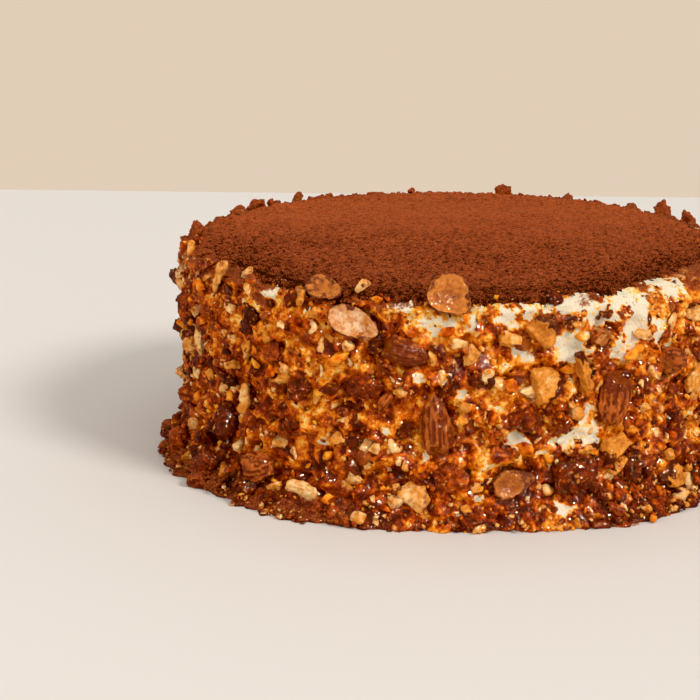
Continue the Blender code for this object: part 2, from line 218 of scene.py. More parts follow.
RIM_LUMPS = tuple(
    Piece("dark", angle, 75, length, min(length, 8), min(length, 7), 65, -1.0 - inset, 10)
    for angle, length, inset in (
        (77, 11, 3.5),
        (34, 11, 0),
        (25, 12, 0),
        (121, 4, 1),
        (138, 5, 1),
        (152, 4, 1),
        (100, 4, 1),
        (-20, 7, 0),
    )
)
# Smaller ones again, which the body's solid leaves out.
FINE_SMALL = (
    Piece("tan", -138.9, 75.5, 6, 4.5, 4, 60, -2.5, 15),
    Piece("dark", -142.6, 68.3, 6.5, 6, 5, 0, 1.0),
    Piece("tan", -122.3, 72, 6, 3.5, 4, 70, 0.8),
    Piece("tan", -156.7, 56.3, 5, 5, 4.5, 0, 1.2),
    Piece("tan", -159.7, 43.7, 6, 5, 4.5, 30, 1.0),
    Piece("dark", -58.5, 69.1, 5, 4, 4, 40, 0.6),
    Piece("tan", -39.2, 10.5, 5, 4, 4, 30, 1.0),
    Piece("tan", -38.4, 36.9, 6, 4.5, 4, 0, 1.0),
    Piece("skin", -104.9, 41.8, 8, 4, 5, 60, 0.6),
    Piece("dark", -113.2, 36, 6.5, 5, 4.5, 20),
    Piece("dark", -70.7, 68.3, 5, 3.5, 4, 20, 0.6),
    Piece("tan", -69, 67, 4.5, 3.5, 3.5, -20, 0.6),
)
# How well roasted some large pieces are: 0 is pale, 1 well browned, and more is darker still.
TINTS = {
    "slice_01": 0.2,
    "slice_02": 1.3,
    "slice_03": 1.4,
    "almond_04": 0.4,
    "chunk_05": 0.9,
    "shard_06": 1.6,
    "chunk_07": 1.5,
    "chunk_10": 1.1,
    "chunk_12": 1.2,
    "almond_13": 0.8,
    "almond_14": 1.6,
    "almond_17": 0.6,
    "slice_25": 1.8,
}
# How often a large piece's facets are divided, how sharp the edges of its cuts stay, how often the edge of
# its flesh is softened, and how deep slices are hollowed and skins grooved.
LARGE_DIVISIONS = 3
CUT_CREASE = 0.75
SOFTENING_PASSES = 6
SLICE_HOLLOW = 0.9 * MM
SKIN_GROOVE = 0.25 * MM
# Further left than this, pieces are dustier. Higher than this at the back, small ones are powdered all over.
DUSTY_LEFT_OF = -138
POWDERED_ABOVE = 68
# The slice that still has streaks of its skin, and the almond whose top is darkened by caramel.
HALF_PEELED = "slice_03"
DARK_TOPPED = "almond_04"
# The pieces that keep skin on one side: which side it is, to the right and up, seen from outside.
SKIN_SIDES = {
    "chunk_05": (0.9, -0.4),
    "shard_06": (0.6, 0.8),
    "chunk_07": (0.6, 0.8),
    "chunk_10": (-0.3, -0.9),
    "chunk_12": (-0.6, 0.5),
    "slice_25": (0.8, 0.6),
}
# The part of the side that the photograph doesn't show, where places are drawn at random.
BACK_FROM, BACK_TO = -36, 184
BACK_LARGE_COUNT = 15
LARGE_SPACING = 19 * MM
GAP_SMALL_COUNT = 38
SMALL_SPACING = 11 * MM
SEED = 11

# Where clean cream shows between the pieces: angle, height, width and height of the patch, in millimetres.
CREAM_SHOWS = (
    (-95.2, 66.6, 8, 6), (-82.7, 69.7, 8, 7), (-89.2, 66.4, 7, 6), (-102.7, 72.5, 6, 5), (-78.2, 71.6, 8, 6),
    (-70.7, 72.0, 21, 5), (-69.9, 59.4, 14, 11), (-63.7, 67.5, 11, 6), (-61.4, 73.5, 18, 8),
    (-56.5, 66.5, 11, 20), (-50, 60, 7, 9), (-45.5, 74.0, 14, 7), (-59.7, 56.7, 7, 11), (-66.1, 30.9, 9, 14),
    (-78.9, 29.5, 4, 4), (-81.5, 30.3, 6, 6), (-71.3, 5.6, 7, 4), (-91.0, 44.6, 3, 4), (-129.5, 71.5, 4, 5),
    (-120.5, 67.5, 4, 4), (-98.5, 49.9, 5, 3.5), (-94.3, 49.6, 2.5, 4.5), (-78.4, 55.9, 4.5, 4),
    (-81, 58.8, 4, 4), (-73.2, 28.7, 5, 3.5), (-70.2, 28.6, 6, 8), (-68.5, 35.7, 2.5, 4),
    (-75.4, 24.8, 3.5, 2.5), (-87.2, 10, 3, 2.5), (-46.3, 54.2, 3, 3), (-51.2, 62.9, 3, 4), (-118, 24, 4, 3),
    (-125, 17, 3, 3), (-105, 31, 3, 3), (-97, 24, 3, 4),
)
BACK_CREAM_COUNT = 30
# A part of the side that is paler and less covered: angle, height, width and height, in degrees and metres.
PALE_PART = (-128, 59 * MM, 44 * MM, 32 * MM)

# Where the photograph's camera is, in metres, how it is turned, in degrees, and its focal length.
CAMERA_PLACE = (-0.02325, -0.711375, 0.22025)
CAMERA_DOWN = 14.75
CAMERA_YAW = -1.26
CAMERA_ROLL = 0.44
CAMERA_LENS = 103.53


# ---------------------------------------------------------------- small helpers


def only(obj):
    """Selects one object, alone and active."""
    bpy.ops.object.select_all(action="DESELECT")
    obj.select_set(True)
    bpy.context.view_layer.objects.active = obj
    return obj


def named(name):
    """The object that an operator has just added, under its own name."""
    obj = bpy.context.object
    obj.name = obj.data.name = name
    return obj


def apply_modifier(obj, kind, **settings):
    """Adds a modifier with these settings and applies it."""
    only(obj)
    modifier = obj.modifiers.new("step", kind)
    for key, value in settings.items():
        setattr(modifier, key, value)
    bpy.ops.object.modifier_apply(modifier=modifier.name)


def joined(objects, name):
    """The objects as one."""
    bpy.ops.object.select_all(action="DESELECT")
    for obj in objects:
        obj.select_set(True)
    bpy.context.view_layer.objects.active = objects[0]
    bpy.ops.object.join()
    return named(name)


def choose(obj, kind, chosen):
    """Selects these points, edges or faces alone, and stays in edit mode."""
    only(obj)
    bpy.ops.object.mode_set(mode="EDIT")
    bpy.ops.mesh.select_mode(type=kind)
    bpy.ops.mesh.select_all(action="DESELECT")
    bpy.ops.object.mode_set(mode="OBJECT")
    items = {"VERT": obj.data.vertices, "EDGE": obj.data.edges, "FACE": obj.data.polygons}[kind]
    items.foreach_set("select", chosen)
    bpy.ops.object.mode_set(mode="EDIT")


def values_of(items, name, width=1, kind=np.float32):
    """One property of all the points, edges or faces, as an array."""
    flat = np.empty(len(items) * width, kind)
    items.foreach_get(name, flat)
    return flat.reshape(-1, width) if width > 1 else flat


def points_of(mesh):
    return values_of(mesh.vertices, "co", 3)


def move_points(mesh, points):
    mesh.vertices.foreach_set("co", np.asarray(points, np.float32).ravel())
    mesh.update()


def swell(mesh, amount):
    """Moves each point out along its normal."""
    move_points(mesh, points_of(mesh) + values_of(mesh.vertices, "normal", 3) * np.asarray(amount)[:, None])


def set_attribute(mesh, name, values, domain="POINT"):
    stored = mesh.attributes.get(name) or mesh.attributes.new(name, "FLOAT", domain)
    stored.data.foreach_set("value", np.asarray(values, np.float32))


def get_attribute(mesh, name):
    return values_of(mesh.attributes[name].data, "value")


def smooth_step(low, high, value):
    """0 at low and beyond, 1 at high and beyond, and smooth between them."""
    share = np.clip((value - low) / (high - low), 0, 1)
    return share * share * (3 - 2 * share)


def noise_at(points, size, shift=0.0):
    """Noise of a given size, in metres, at each point."""
    offset = Vector((shift, 2 * shift, 3 * shift))
    return np.array([noise.noise(Vector(point) / size + offset) for point in points.tolist()])


def roughen(obj, layers, shift=0.0, billows=()):
    """Swells a mesh by layers of noise, each a size and a depth. Billows make round lumps."""
    points = points_of(obj.data)
    amount = np.zeros(len(points))
    for k, (size, depth) in enumerate(layers):
        amount += depth * noise_at(points, size, shift + k)
    for k, (size, depth) in enumerate(billows):
        amount += depth * (0.35 - 1.6 * np.abs(noise_at(points, size, shift + 20 + k)))
    swell(obj.data, amount)


def in_metres(layers):
    """Noise layers whose sizes and depths are given in millimetres."""
    return [(size * MM, depth * MM) for size, depth in layers]


def drop_sunken(piece):
    """Deletes the chips that would lie wholly below what the cake stands on."""
    choose(piece, "VERT", points_of(piece.data)[:, 2] > LEAST_ABOVE_FLOOR)
    bpy.ops.mesh.select_linked()
    bpy.ops.mesh.select_all(action="INVERT")
    bpy.ops.mesh.delete(type="VERT")
    bpy.ops.object.mode_set(mode="OBJECT")


def dress(piece, slot, *nodes):
    """The last touches that every piece has. What would reach below the cake is drawn up and in under it."""
    points = points_of(piece.data)
    below = np.maximum(-points[:, 2], 0)
    points[:, :2] *= (1 - DRAWN_IN * below / np.maximum(np.hypot(points[:, 0], points[:, 1]), MM))[:, None]
    points[:, 2] = np.maximum(points[:, 2], 0)
    move_points(piece.data, points)
    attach(piece, "root")
    if nodes:
        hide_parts(*nodes)
    return piece


# ---------------------------------------------------------------- where the pieces are


def heap_reach(angle, height):
    """How far the crumbs heaped at the foot stand out from the side."""
    reach = 0
    if height < HEAP_HEIGHT:
        for middle, out, half_width in HEAPS:
            away = abs((angle - middle + 180) % 360 - 180)
            if away < half_width:
                reach = max(reach, out * (0.5 + 0.5 * math.cos(math.pi * away / half_width)))
        reach *= (1 - height / HEAP_HEIGHT) ** 1.6
    return reach


def side_radius(height):
    """The cream's radius at a height, without its crags: flared at the foot, rounded at the rim."""
    radius = SIDE_RADIUS
    if height < FLARE_HEIGHT:
        radius += FOOT_FLARE * (1 - height / FLARE_HEIGHT) ** 2
    below_top = BODY_HEIGHT - height
    if below_top < RIM_ROUNDING:
        radius -= RIM_ROUNDING - math.sqrt(RIM_ROUNDING**2 - (RIM_ROUNDING - below_top) ** 2)
    return radius


def placing(piece):
    """From the piece's own frame, length along X and outer side to +Z, to its place on the cake's side."""
    turn, around = math.radians(piece.turn), math.radians(piece.angle)
    outward = Vector((math.cos(around), math.sin(around), 0))
    right = Vector((-math.sin(around), math.cos(around), 0))
    along = right * math.cos(turn) + Vector((0, 0, 1)) * math.sin(turn)
    axes = Matrix((along, outward.cross(along), outward)).transposed()
    tipped = Matrix.Rotation(math.radians(-piece.lean), 3, right) @ axes
    height = piece.height * MM
    radius = side_radius(min(height, BODY_HEIGHT - RIM_ROUNDING)) + piece.out * MM
    return Matrix.Translation(outward * radius + Vector((0, 0, height))) @ tipped.to_4x4()


def arc_distance(a, b):
    """How far two pieces' places are from each other on the side."""
    turn = math.radians((a.angle - b.angle + 180) % 360 - 180)
    return math.hypot(turn * SIDE_RADIUS, (a.height - b.height) * MM)


def spread(count, spacing, taken, angles, rng, make):
    """Pieces made at random places between two angles, each clear of those already there."""
    found = []
    while len(found) < count:
        piece = make(rng.uniform(*angles), rng)
        if all(arc_distance(piece, other) > spacing for other in taken + found):
            found.append(piece)
    return found


def random_large(angle, rng):
    kind = rng.choice(("slice", "chunk", "chunk", "almond", "caramel", "shard"))
    length = rng.uniform(12, 19)
    width = length * (0.42 if kind == "shard" else rng.uniform(0.55, 0.8))
    thickness = rng.uniform(5.5, 8)
    height, turn, out = rng.uniform(10, 66), rng.uniform(-90, 90), rng.uniform(0.6, 1.6)
    return Piece(kind, angle, height, length, width, thickness, turn, out)


def random_small(angle, rng):
    length = rng.uniform(7, 11)
    width = length * rng.uniform(0.6, 0.9)
    return Piece("any", angle, rng.uniform(5, 71), length, width, 6.5, rng.uniform(-90, 90), 1.0)


def all_pieces():
    """The large and the small pieces, drawn in the same order as for the solids."""
    rng = random.Random(SEED)
    large = list(FRONT_LARGE)
    small = list(FRONT_SMALL) + list(RIM_LUMPS)
    taken = large + list(RIM_LUMPS)
    large += spread(BACK_LARGE_COUNT, LARGE_SPACING, taken, (BACK_FROM, BACK_TO), rng, random_large)
    small += spread(GAP_SMALL_COUNT, SMALL_SPACING, large + small, (-180, 180), rng, random_small)
    kinds = random.Random(SEED + 1)
    known = ("tan", "tan", "tan", "amber", "amber", "dark", "skin")
    small = [piece._replace(kind=kinds.choice(known)) if piece.kind == "any" else piece for piece in small]
    return large, small + list(FINE_SMALL)


# ---------------------------------------------------------------- node helpers


def put(tree, kind, inputs=None, **settings):
    """Adds a node, sets it, and links or fills its inputs, given by name or number."""
    made = tree.nodes.new(kind)
    for key, value in settings.items():
        setattr(made, key, value)
    for key, value in (inputs or {}).items():
        if isinstance(value, bpy.types.NodeSocket):
            tree.links.new(value, made.inputs[key])
        else:
            made.inputs[key].default_value = value
    return made


def maths(tree, operation, a, b, c=0.0, clamp=False):
    return put(tree, "ShaderNodeMath", {0: a, 1: b, 2: c}, operation=operation, use_clamp=clamp).outputs[0]


def total(tree, *terms):
    """The sum of values, each with how many times it counts."""
    found = None
    for value, times in terms:
        term = value if times == 1 else maths(tree, "MULTIPLY", value, times)
        found = term if found is None else maths(tree, "ADD", found, term)
    return found


def mix(tree, share, a, b):
    return put(tree, "ShaderNodeMix", {0: share, 2: a, 3: b}).outputs[0]


def blend(tree, share, a, b):
    """Two colours mixed, each a socket or a linear colour."""
    a, b = ((*colour, 1) if isinstance(colour, tuple) else colour for colour in (a, b))
    return put(tree, "ShaderNodeMix", {0: share, 6: a, 7: b}, data_type="RGBA").outputs[2]


def between(tree, value, low, high, to_low=0.0, to_high=1.0):
    """From one value at low to the other at high, smoothly."""
    inputs = {0: value, 1: low, 2: high, 3: to_low, 4: to_high}
    return put(tree, "ShaderNodeMapRange", inputs, interpolation_type="SMOOTHSTEP").outputs[0]


def noise_node(tree, size, detail):
    """Noise whose lumps are about the given size, in metres."""
    where = put(tree, "ShaderNodeTexCoord").outputs["Object"]
    inputs = {"Vector": where, "Scale": 1 / size, "Detail": detail, "Roughness": 0.55}
    return put(tree, "ShaderNodeTexNoise", inputs).outputs["Fac"]


def bump(tree, height, strength, depth):
    return put(tree, "ShaderNodeBump", {"Height": height, "Strength": strength, "Distance": depth}).outputs[0]


def attribute(tree, name):
    return put(tree, "ShaderNodeAttribute", attribute_name=name).outputs["Fac"]


def ramp(tree, value, stops):
    """A colour ramp from pairs of place and linear colour."""
    made = put(tree, "ShaderNodeValToRGB", {"Fac": value})
    elements = made.color_ramp.elements
    while len(elements) < len(stops):
        elements.new(0.5)
    for element, (place, colour) in zip(elements, stops):
        element.position = place
        element.color = (*colour, 1)
    return made.outputs["Color"]


def new_group(name, inputs, outputs):
    """A shader group with named sockets: pairs of name and default, a number or a colour."""
    tree = bpy.data.node_groups.new(name, "ShaderNodeTree")
    for socket, default in inputs:
        kind = "NodeSocketColor" if isinstance(default, tuple) else "NodeSocketFloat"
        made = tree.interface.new_socket(socket, in_out="INPUT", socket_type=kind)
        made.default_value = (*default, 1) if isinstance(default, tuple) else default
    for socket, kind in outputs:
        tree.interface.new_socket(socket, in_out="OUTPUT", socket_type=kind)
    return tree, tree.nodes.new("NodeGroupInput"), tree.nodes.new("NodeGroupOutput")


def use_group(tree, group, inputs):
    return put(tree, "ShaderNodeGroup", inputs, node_tree=group).outputs


def cocoa_dust_group():
    """Cocoa that lies on what faces up, by the amount in the dusty attribute, in specks and drifts."""
    tree, given, out = new_group(
        "Cocoa dust",
        (("Color", (0.8, 0.8, 0.8)), ("Roughness", 0.5), ("Coat", 0.0)),
        (("Color", "NodeSocketColor"), ("Roughness", "NodeSocketFloat"), ("Coat", "NodeSocketFloat")),
    )
    normal = put(tree, "ShaderNodeNewGeometry").outputs["Normal"]
    up = put(tree, "ShaderNodeSeparateXYZ", {0: normal}).outputs["Z"]
    facing = between(tree, up, -0.35, 0.75, 0.35, 1.0)
    lying = maths(tree, "MULTIPLY", facing, attribute(tree, "dusty"))
    drift = noise_node(tree, 5 * MM, 2)
    speck = noise_node(tree, 0.7 * MM, 2)
    broken = total(tree, (drift, 0.5), (speck, 0.5))
    mask = between(tree, maths(tree, "ADD", lying, broken), 0.82, 1.0)
    cocoa = ramp(tree, speck, ((0.35, (0.13, 0.024, 0.007)), (0.65, (0.34, 0.075, 0.022))))
    tree.links.new(blend(tree, mask, given.outputs["Color"], cocoa), out.inputs["Color"])
    tree.links.new(mix(tree, mask, given.outputs["Roughness"], 0.95), out.inputs["Roughness"])
    bare = maths(tree, "SUBTRACT", 1.0, mask)
    tree.links.new(maths(tree, "MULTIPLY", given.outputs["Coat"], bare), out.inputs["Coat"])
    return tree


def glaze_group():
    """Caramel that has run over the surface: where it is thick it is dark and glossy."""
    tree, given, out = new_group(
        "Caramel glaze",
        (("Color", (0.8, 0.8, 0.8)), ("Roughness", 0.5), ("Amount", 0.5)),
        (("Color", "NodeSocketColor"), ("Roughness", "NodeSocketFloat"), ("Mask", "NodeSocketFloat")),
    )
    runs = noise_node(tree, 4.5 * MM, 3)
    spots = noise_node(tree, 1.6 * MM, 2)
    level = total(tree, (runs, 0.65), (spots, 0.35))
    amount = maths(tree, "MULTIPLY_ADD", attribute(tree, "wet"), 0.9, given.outputs["Amount"])
    edge = maths(tree, "SUBTRACT", 0.78, maths(tree, "MULTIPLY", amount, 0.5))
    mask = between(tree, maths(tree, "SUBTRACT", level, edge), -0.06, 0.12)
    stained = blend(tree, 0.6, given.outputs["Color"], CARAMEL)
    tree.links.new(blend(tree, mask, given.outputs["Color"], stained), out.inputs["Color"])
    tree.links.new(mix(tree, mask, given.outputs["Roughness"], 0.13), out.inputs["Roughness"])
    tree.links.new(mask, out.inputs["Mask"])
    return tree


# ---------------------------------------------------------------- finishes

# Linear colours that more than one finish uses.
CARAMEL = (0.42, 0.075, 0.005)
THIN_CARAMEL = (0.70, 0.22, 0.03)
NUT_SPECKS = (0.62, 0.20, 0.025)
# How much of its red, green and blue flesh keeps when it is well roasted, and skin in its grooves, which is
# darker there as painted shade.
WELL_ROASTED = (0.44, 0.27, 0.3)
IN_GROOVES = (0.28, 0.17, 0.28)

COAT_IOR = 1.5
GLINT_SIZE, GLINT_DEPTH = 1.1 * MM, 0.4 * MM
DUST = cocoa_dust_group()
GLAZE = glaze_group()


def start_material(name, **fixed):
    """A material with its Principled shader, whose fixed values are set on its own sockets."""
    material = bpy.data.materials.new(name)
    material.use_nodes = True
    tree = material.node_tree
    shader = tree.nodes["Principled BSDF"]
    for key, value in fixed.items():
        socket = {"specular": "Specular IOR Level", "coat_ior": "Coat IOR"}.get(key)
        shader.inputs[socket or key.replace("_", " ").title()].default_value = value
    return material, tree, shader


def end_material(tree, shader, colour, roughness, coat, normal):
    """Lays the cocoa dust on, gives the coat the small facets that glint, and feeds the shader."""
    dusted = use_group(tree, DUST, {"Color": colour, "Roughness": roughness, "Coat": coat})
    tree.links.new(dusted["Color"], shader.inputs["Base Color"])
    tree.links.new(dusted["Roughness"], shader.inputs["Roughness"])
    tree.links.new(dusted["Coat"], shader.inputs["Coat Weight"])
    tree.links.new(normal, shader.inputs["Normal"])
    facets = bump(tree, noise_node(tree, GLINT_SIZE, 0), 0.9, GLINT_DEPTH)
    tree.links.new(facets, shader.inputs["Coat Normal"])


def cream_material():
    """Ivory cream, and where caramel has soaked in, yellow to golden brown and wet. The same darkening also
    paints shade into the cream's hollows, round the pieces and near the foot.
    """
    material, tree, shader = start_material(
        "cream", subsurface_weight=0.2, subsurface_radius=(1.0, 0.5, 0.2), subsurface_scale=1.2 * MM,
        coat_roughness=0.1, coat_ior=COAT_IOR, specular=0.1, specular_tint=(1.0, 0.8, 0.6, 1),
    )
    wander = total(tree, (noise_node(tree, 4 * MM, 4), 1.1), (noise_node(tree, 1.2 * MM, 3), 0.9))
    level = maths(tree, "ADD", attribute(tree, "stain"), maths(tree, "SUBTRACT", wander, 1.0), clamp=True)
    colour = ramp(
        tree,
        level,
        (
            (0.10, (0.76, 0.67, 0.52)),
            (0.18, (0.90, 0.58, 0.16)),
            (0.33, (0.86, 0.30, 0.015)),
            (0.53, (0.60, 0.105, 0.004)),
            (0.72, (0.27, 0.029, 0.003)),
            (0.97, (0.08, 0.008, 0.002)),
        ),
    )
    rough = between(tree, level, 0.2, 0.5, 0.5, 0.25)
    coat = between(tree, level, 0.22, 0.45, 0.0, 1.0)
    normal = bump(tree, noise_node(tree, 1.0 * MM, 5), 1.0, 0.6 * MM)
    end_material(tree, shader, colour, rough, coat, normal)
    return material


def almond_material(name, pale, toasted, skin, glaze_amount, bare_from):
    """Roasted almond: pale to toasted flesh where it is cut, brown ridged skin elsewhere, runs of caramel."""
    material, tree, shader = start_material(
        name, subsurface_weight=0.1, subsurface_radius=(1.0, 0.45, 0.15), subsurface_scale=1.2 * MM,
        coat_roughness=0.1, coat_ior=COAT_IOR, specular=0.1, specular_tint=(1.0, 0.7, 0.45, 1),
    )
    tint = attribute(tree, "tint")
    grain = noise_node(tree, 1.4 * MM, 5)
    tone = total(tree, (tint, 1), (grain, 1.6), (noise_node(tree, 4 * MM, 4), 3.4))
    flesh = blend(tree, between(tree, tone, 2.2, 3.4), pale, toasted)
    brown = tuple(share * c for share, c in zip(WELL_ROASTED, toasted))
    flesh = blend(tree, between(tree, tone, 3.2, 4.4, 0.0, 0.8), flesh, brown)
    freckles = between(tree, noise_node(tree, 1.0 * MM, 3), 0.54, 0.66)
    flesh = blend(tree, maths(tree, "MULTIPLY", freckles, 0.35), flesh, brown)
    edges = between(tree, attribute(tree, "flesh"), 0.99, 0.75)
    flesh = blend(tree, maths(tree, "MULTIPLY", edges, 0.5), flesh, toasted)
    # On the large almonds the skin is lighter on its ridges and darker in its grooves: painted highlight and
    # shade. On chips the same stripes are a plain pattern.
    raised = total(tree, (attribute(tree, "ridge"), 0.8), (noise_node(tree, 0.7 * MM, 3), 0.5))
    dark_skin = tuple(share * c for share, c in zip(IN_GROOVES, skin))
    peel = blend(tree, between(tree, raised, 0.50, 0.90), dark_skin, skin)
    peel = blend(tree, maths(tree, "MULTIPLY", tint, 0.6), peel, dark_skin)
    spots = between(tree, noise_node(tree, 2.0 * MM, 4), 0.54, 0.66)
    peel = blend(tree, maths(tree, "MULTIPLY", spots, 0.45), peel, THIN_CARAMEL)
    patchy = maths(tree, "SUBTRACT", noise_node(tree, 2.6 * MM, 3), 0.5)
    bare = total(tree, (attribute(tree, "flesh"), 1), (patchy, 1.6))
    cut = between(tree, bare, bare_from, bare_from + 0.45)
    base, rough = blend(tree, cut, peel, flesh), mix(tree, cut, 0.42, 0.45)
    glaze = use_group(tree, GLAZE, {"Color": base, "Roughness": rough, "Amount": glaze_amount})
    pitted = maths(tree, "SUBTRACT", grain, maths(tree, "MULTIPLY", freckles, 0.2))
    normal = bump(tree, mix(tree, cut, raised, pitted), 0.9, 0.55 * MM)
    coat = between(tree, glaze["Mask"], 0.0, 1.0, 0.45, 1.0)
    end_material(tree, shader, glaze["Color"], glaze["Roughness"], coat, normal)
    return material


def caramel_material(name, stops, speckle=0.0):
    """Hard caramel, mottled from light to dark, its tone from piece to piece by the tint attribute."""
    material, tree, shader = start_material(
        name, subsurface_weight=0.3, subsurface_radius=(1.0, 0.3, 0.05), subsurface_scale=2.0 * MM,
        coat_roughness=0.06, coat_ior=COAT_IOR, specular=0.1, specular_tint=(1.0, 0.5, 0.25, 1),
    )
    mottle = maths(tree, "SUBTRACT", noise_node(tree, 2.5 * MM, 4), 0.5)
    level = maths(tree, "MULTIPLY_ADD", mottle, 1.9, 0.24)
    level = maths(tree, "ADD", level, maths(tree, "MULTIPLY", attribute(tree, "tint"), 0.6), clamp=True)
    colour = ramp(tree, level, stops)
    if speckle:
        bits = between(tree, noise_node(tree, 1.5 * MM, 2), 0.60, 0.68)
        colour = blend(tree, maths(tree, "MULTIPLY", bits, speckle), colour, NUT_SPECKS)
    fine = noise_node(tree, 0.9 * MM, 4)
    rough = between(tree, fine, 0.3, 0.7, 0.3, 0.5)
    end_material(tree, shader, colour, rough, 1.0, bump(tree, fine, 0.7, 0.4 * MM))
    return material


def cocoa_material():
    """Dry cocoa powder, near black in its pits: painted shade where its bump is lowest and where the cocoa
    layer marks pits, holes and its front edge.
    """
    material, tree, shader = start_material("cocoa", specular=0.03, roughness=1.0)
    grain = noise_node(tree, 0.55 * MM, 2)
    clumps = noise_node(tree, 2.2 * MM, 4)
    drifts = noise_node(tree, 14 * MM, 3)
    tone = total(tree, (grain, 0.6), (clumps, 0.25), (drifts, 0.15))
    # Painted shade from the cocoa layer's pits, holes and front edge.
    tone = maths(tree, "SUBTRACT", tone, maths(tree, "MULTIPLY", attribute(tree, "pit"), 0.15))
    # The near black low end falls where the bump is lowest: painted shade in the pits. The upper stops are
    # the powder's own brown.
    stops = ((0.28, (0.035, 0.006, 0.002)), (0.40, (0.20, 0.040, 0.012)), (0.56, (0.38, 0.084, 0.024)))
    tree.links.new(ramp(tree, tone, stops), shader.inputs["Base Color"])
    tree.links.new(bump(tree, tone, 0.7, 0.35 * MM), shader.inputs["Normal"])
    return material


CREAM = cream_material()
COCOA = cocoa_material()
# Nuts: the colours of the pale flesh, the toasted flesh and the skin, how glazed they are, and from what
# value of the flesh attribute on they are bare of skin.
CUT_ALMOND = almond_material(
    "cut_almond",
    (0.86, 0.56, 0.33),
    (0.62, 0.21, 0.04),
    (0.62, 0.24, 0.07),
    glaze_amount=-0.15,
    bare_from=0.05,
)
TOASTED = almond_material(
    "toasted_almond",
    (0.93, 0.62, 0.28),
    (0.72, 0.26, 0.030),
    (0.32, 0.07, 0.014),
    glaze_amount=0.25,
    bare_from=-0.35,
)
SKIN = almond_material(
    "almond_skin",
    (0.60, 0.24, 0.06),
    (0.36, 0.09, 0.012),
    (0.56, 0.13, 0.020),
    glaze_amount=0.35,
    bare_from=0.7,
)
AMBER_CARAMEL = caramel_material(
    "amber_caramel",
    (
        (0.05, (0.95, 0.42, 0.04)),
        (0.35, (0.85, 0.22, 0.008)),
        (0.62, (0.50, 0.07, 0.002)),
        (0.90, (0.18, 0.015, 0.001)),
    ),
)
DARK_CARAMEL = caramel_material(
    "dark_caramel",
    ((0.05, (0.50, 0.085, 0.006)), (0.4, (0.19, 0.021, 0.003)), (0.9, (0.045, 0.005, 0.002))),
    speckle=0.8,
)

# Each look's finish and its slot in the record.
LOOKS = {
    "cream": (CREAM, "cream"),
    "cocoa": (COCOA, "cocoa"),
    "cut": (CUT_ALMOND, "cut_almond"),
    "toasted": (TOASTED, "toasted_almond"),
    "skin": (SKIN, "almond_skin"),
    "amber": (AMBER_CARAMEL, "dark_caramel"),
    "dark": (DARK_CARAMEL, "dark_caramel"),
}


# ---------------------------------------------------------------- the cream


def coat_mesh():
    """A cylinder cut into fine rings, with rings across the rim of its top."""
    bpy.ops.object.select_all(action="DESELECT")
    bpy.ops.mesh.primitive_cylinder_add(
        vertices=COAT_SEGMENTS, radius=SIDE_RADIUS, depth=BODY_HEIGHT, location=(0, 0, BODY_HEIGHT / 2)
    )
    coat = named("cream_coat")
    bpy.ops.object.transform_apply(location=True, rotation=True, scale=True)
    heights = points_of(coat.data)[:, 2][values_of(coat.data.edges, "vertices", 2, np.int32)]
    choose(coat, "EDGE", np.abs(heights[:, 0] - heights[:, 1]) > BODY_HEIGHT / 2)
    bpy.ops.mesh.subdivide(number_cuts=COAT_CUTS)
    bpy.ops.object.mode_set(mode="OBJECT")
    choose(coat, "FACE", values_of(coat.data.polygons, "normal", 3)[:, 2] > 0.9)
    for _ in range(RIM_RINGS):
        bpy.ops.mesh.inset(thickness=RIM_RING_WIDTH)
    bpy.ops.object.mode_set(mode="OBJECT")
    return coat


def near_pieces(angle, height, pieces, margin):
    """1 under the pieces and up to a margin round them, 0 elsewhere."""
    found = np.zeros(len(angle))
    for piece in pieces:
        size = (piece.length * MM + margin, piece.width * MM + margin)
        found = np.maximum(found, in_patch(angle, height, piece.angle, piece.height * MM, *size, piece.turn))
    return found


def shape_coat(coat, large):
    """Moves the cylinder's points to the cake's outline, with crags, and sunk under the large pieces."""
    points = points_of(coat.data).astype(float)
    radius = np.hypot(points[:, 0], points[:, 1])
    angle = np.degrees(np.arctan2(points[:, 1], points[:, 0]))
    height = points[:, 2]
    on_top = (height > BODY_HEIGHT - TINY) & (radius < SIDE_RADIUS - 10 * TINY)
    outline = np.array([side_radius(h) + heap_reach(a, h) for a, h in zip(angle, height)])
    outline = np.where(on_top, radius * (SIDE_RADIUS - RIM_ROUNDING) / SIDE_RADIUS, outline)
    around = np.stack([points[:, 0] / radius, points[:, 1] / radius, np.zeros(len(points))], 1)
    shaped = around * outline[:, None]
    shaped[:, 2] = height
    crags = 0.5 * noise_at(shaped, CRAG_SIZE) + 1.5 * noise_at(shaped, FINE_CRAG_SIZE)
    clumps = 0.45 - np.abs(noise_at(shaped, 3.6 * MM, 5)) * 1.5 - 0.3 * np.abs(noise_at(shaped, 1.6 * MM, 9))
    fade = np.clip((BODY_HEIGHT - height) / (2 * MM), 0, 1)
    clean = clean_cream(shaped, angle, height)
    slices = [piece for piece in large if piece.kind == "slice"]
    sunk = SUNK_ROUND_PIECES * near_pieces(angle, height, large, 3 * MM)
    sunk = np.maximum(sunk, SUNK_UNDER_SLICES * near_pieces(angle, height, slices, 0))
    relief = CRAG_DEPTH * crags * 0.8 * (1 - 0.4 * clean) + CLUMP_DEPTH * clumps * (1 - 0.8 * clean)
    relief = (relief - sunk) * fade
    shaped += around * relief[:, None]
    past_cocoa = smooth_step(-4 * MM, -1 * MM, np.hypot(shaped[:, 0], shaped[:, 1]) - cocoa_edges(shaped))
    shaped[:, 2] += on_top * past_cocoa * (0.9 * MM + 1.1 * MM * clumps)
    move_points(coat.data, shaped)
    coat.data.shade_smooth()
    return angle, height, clean, clumps


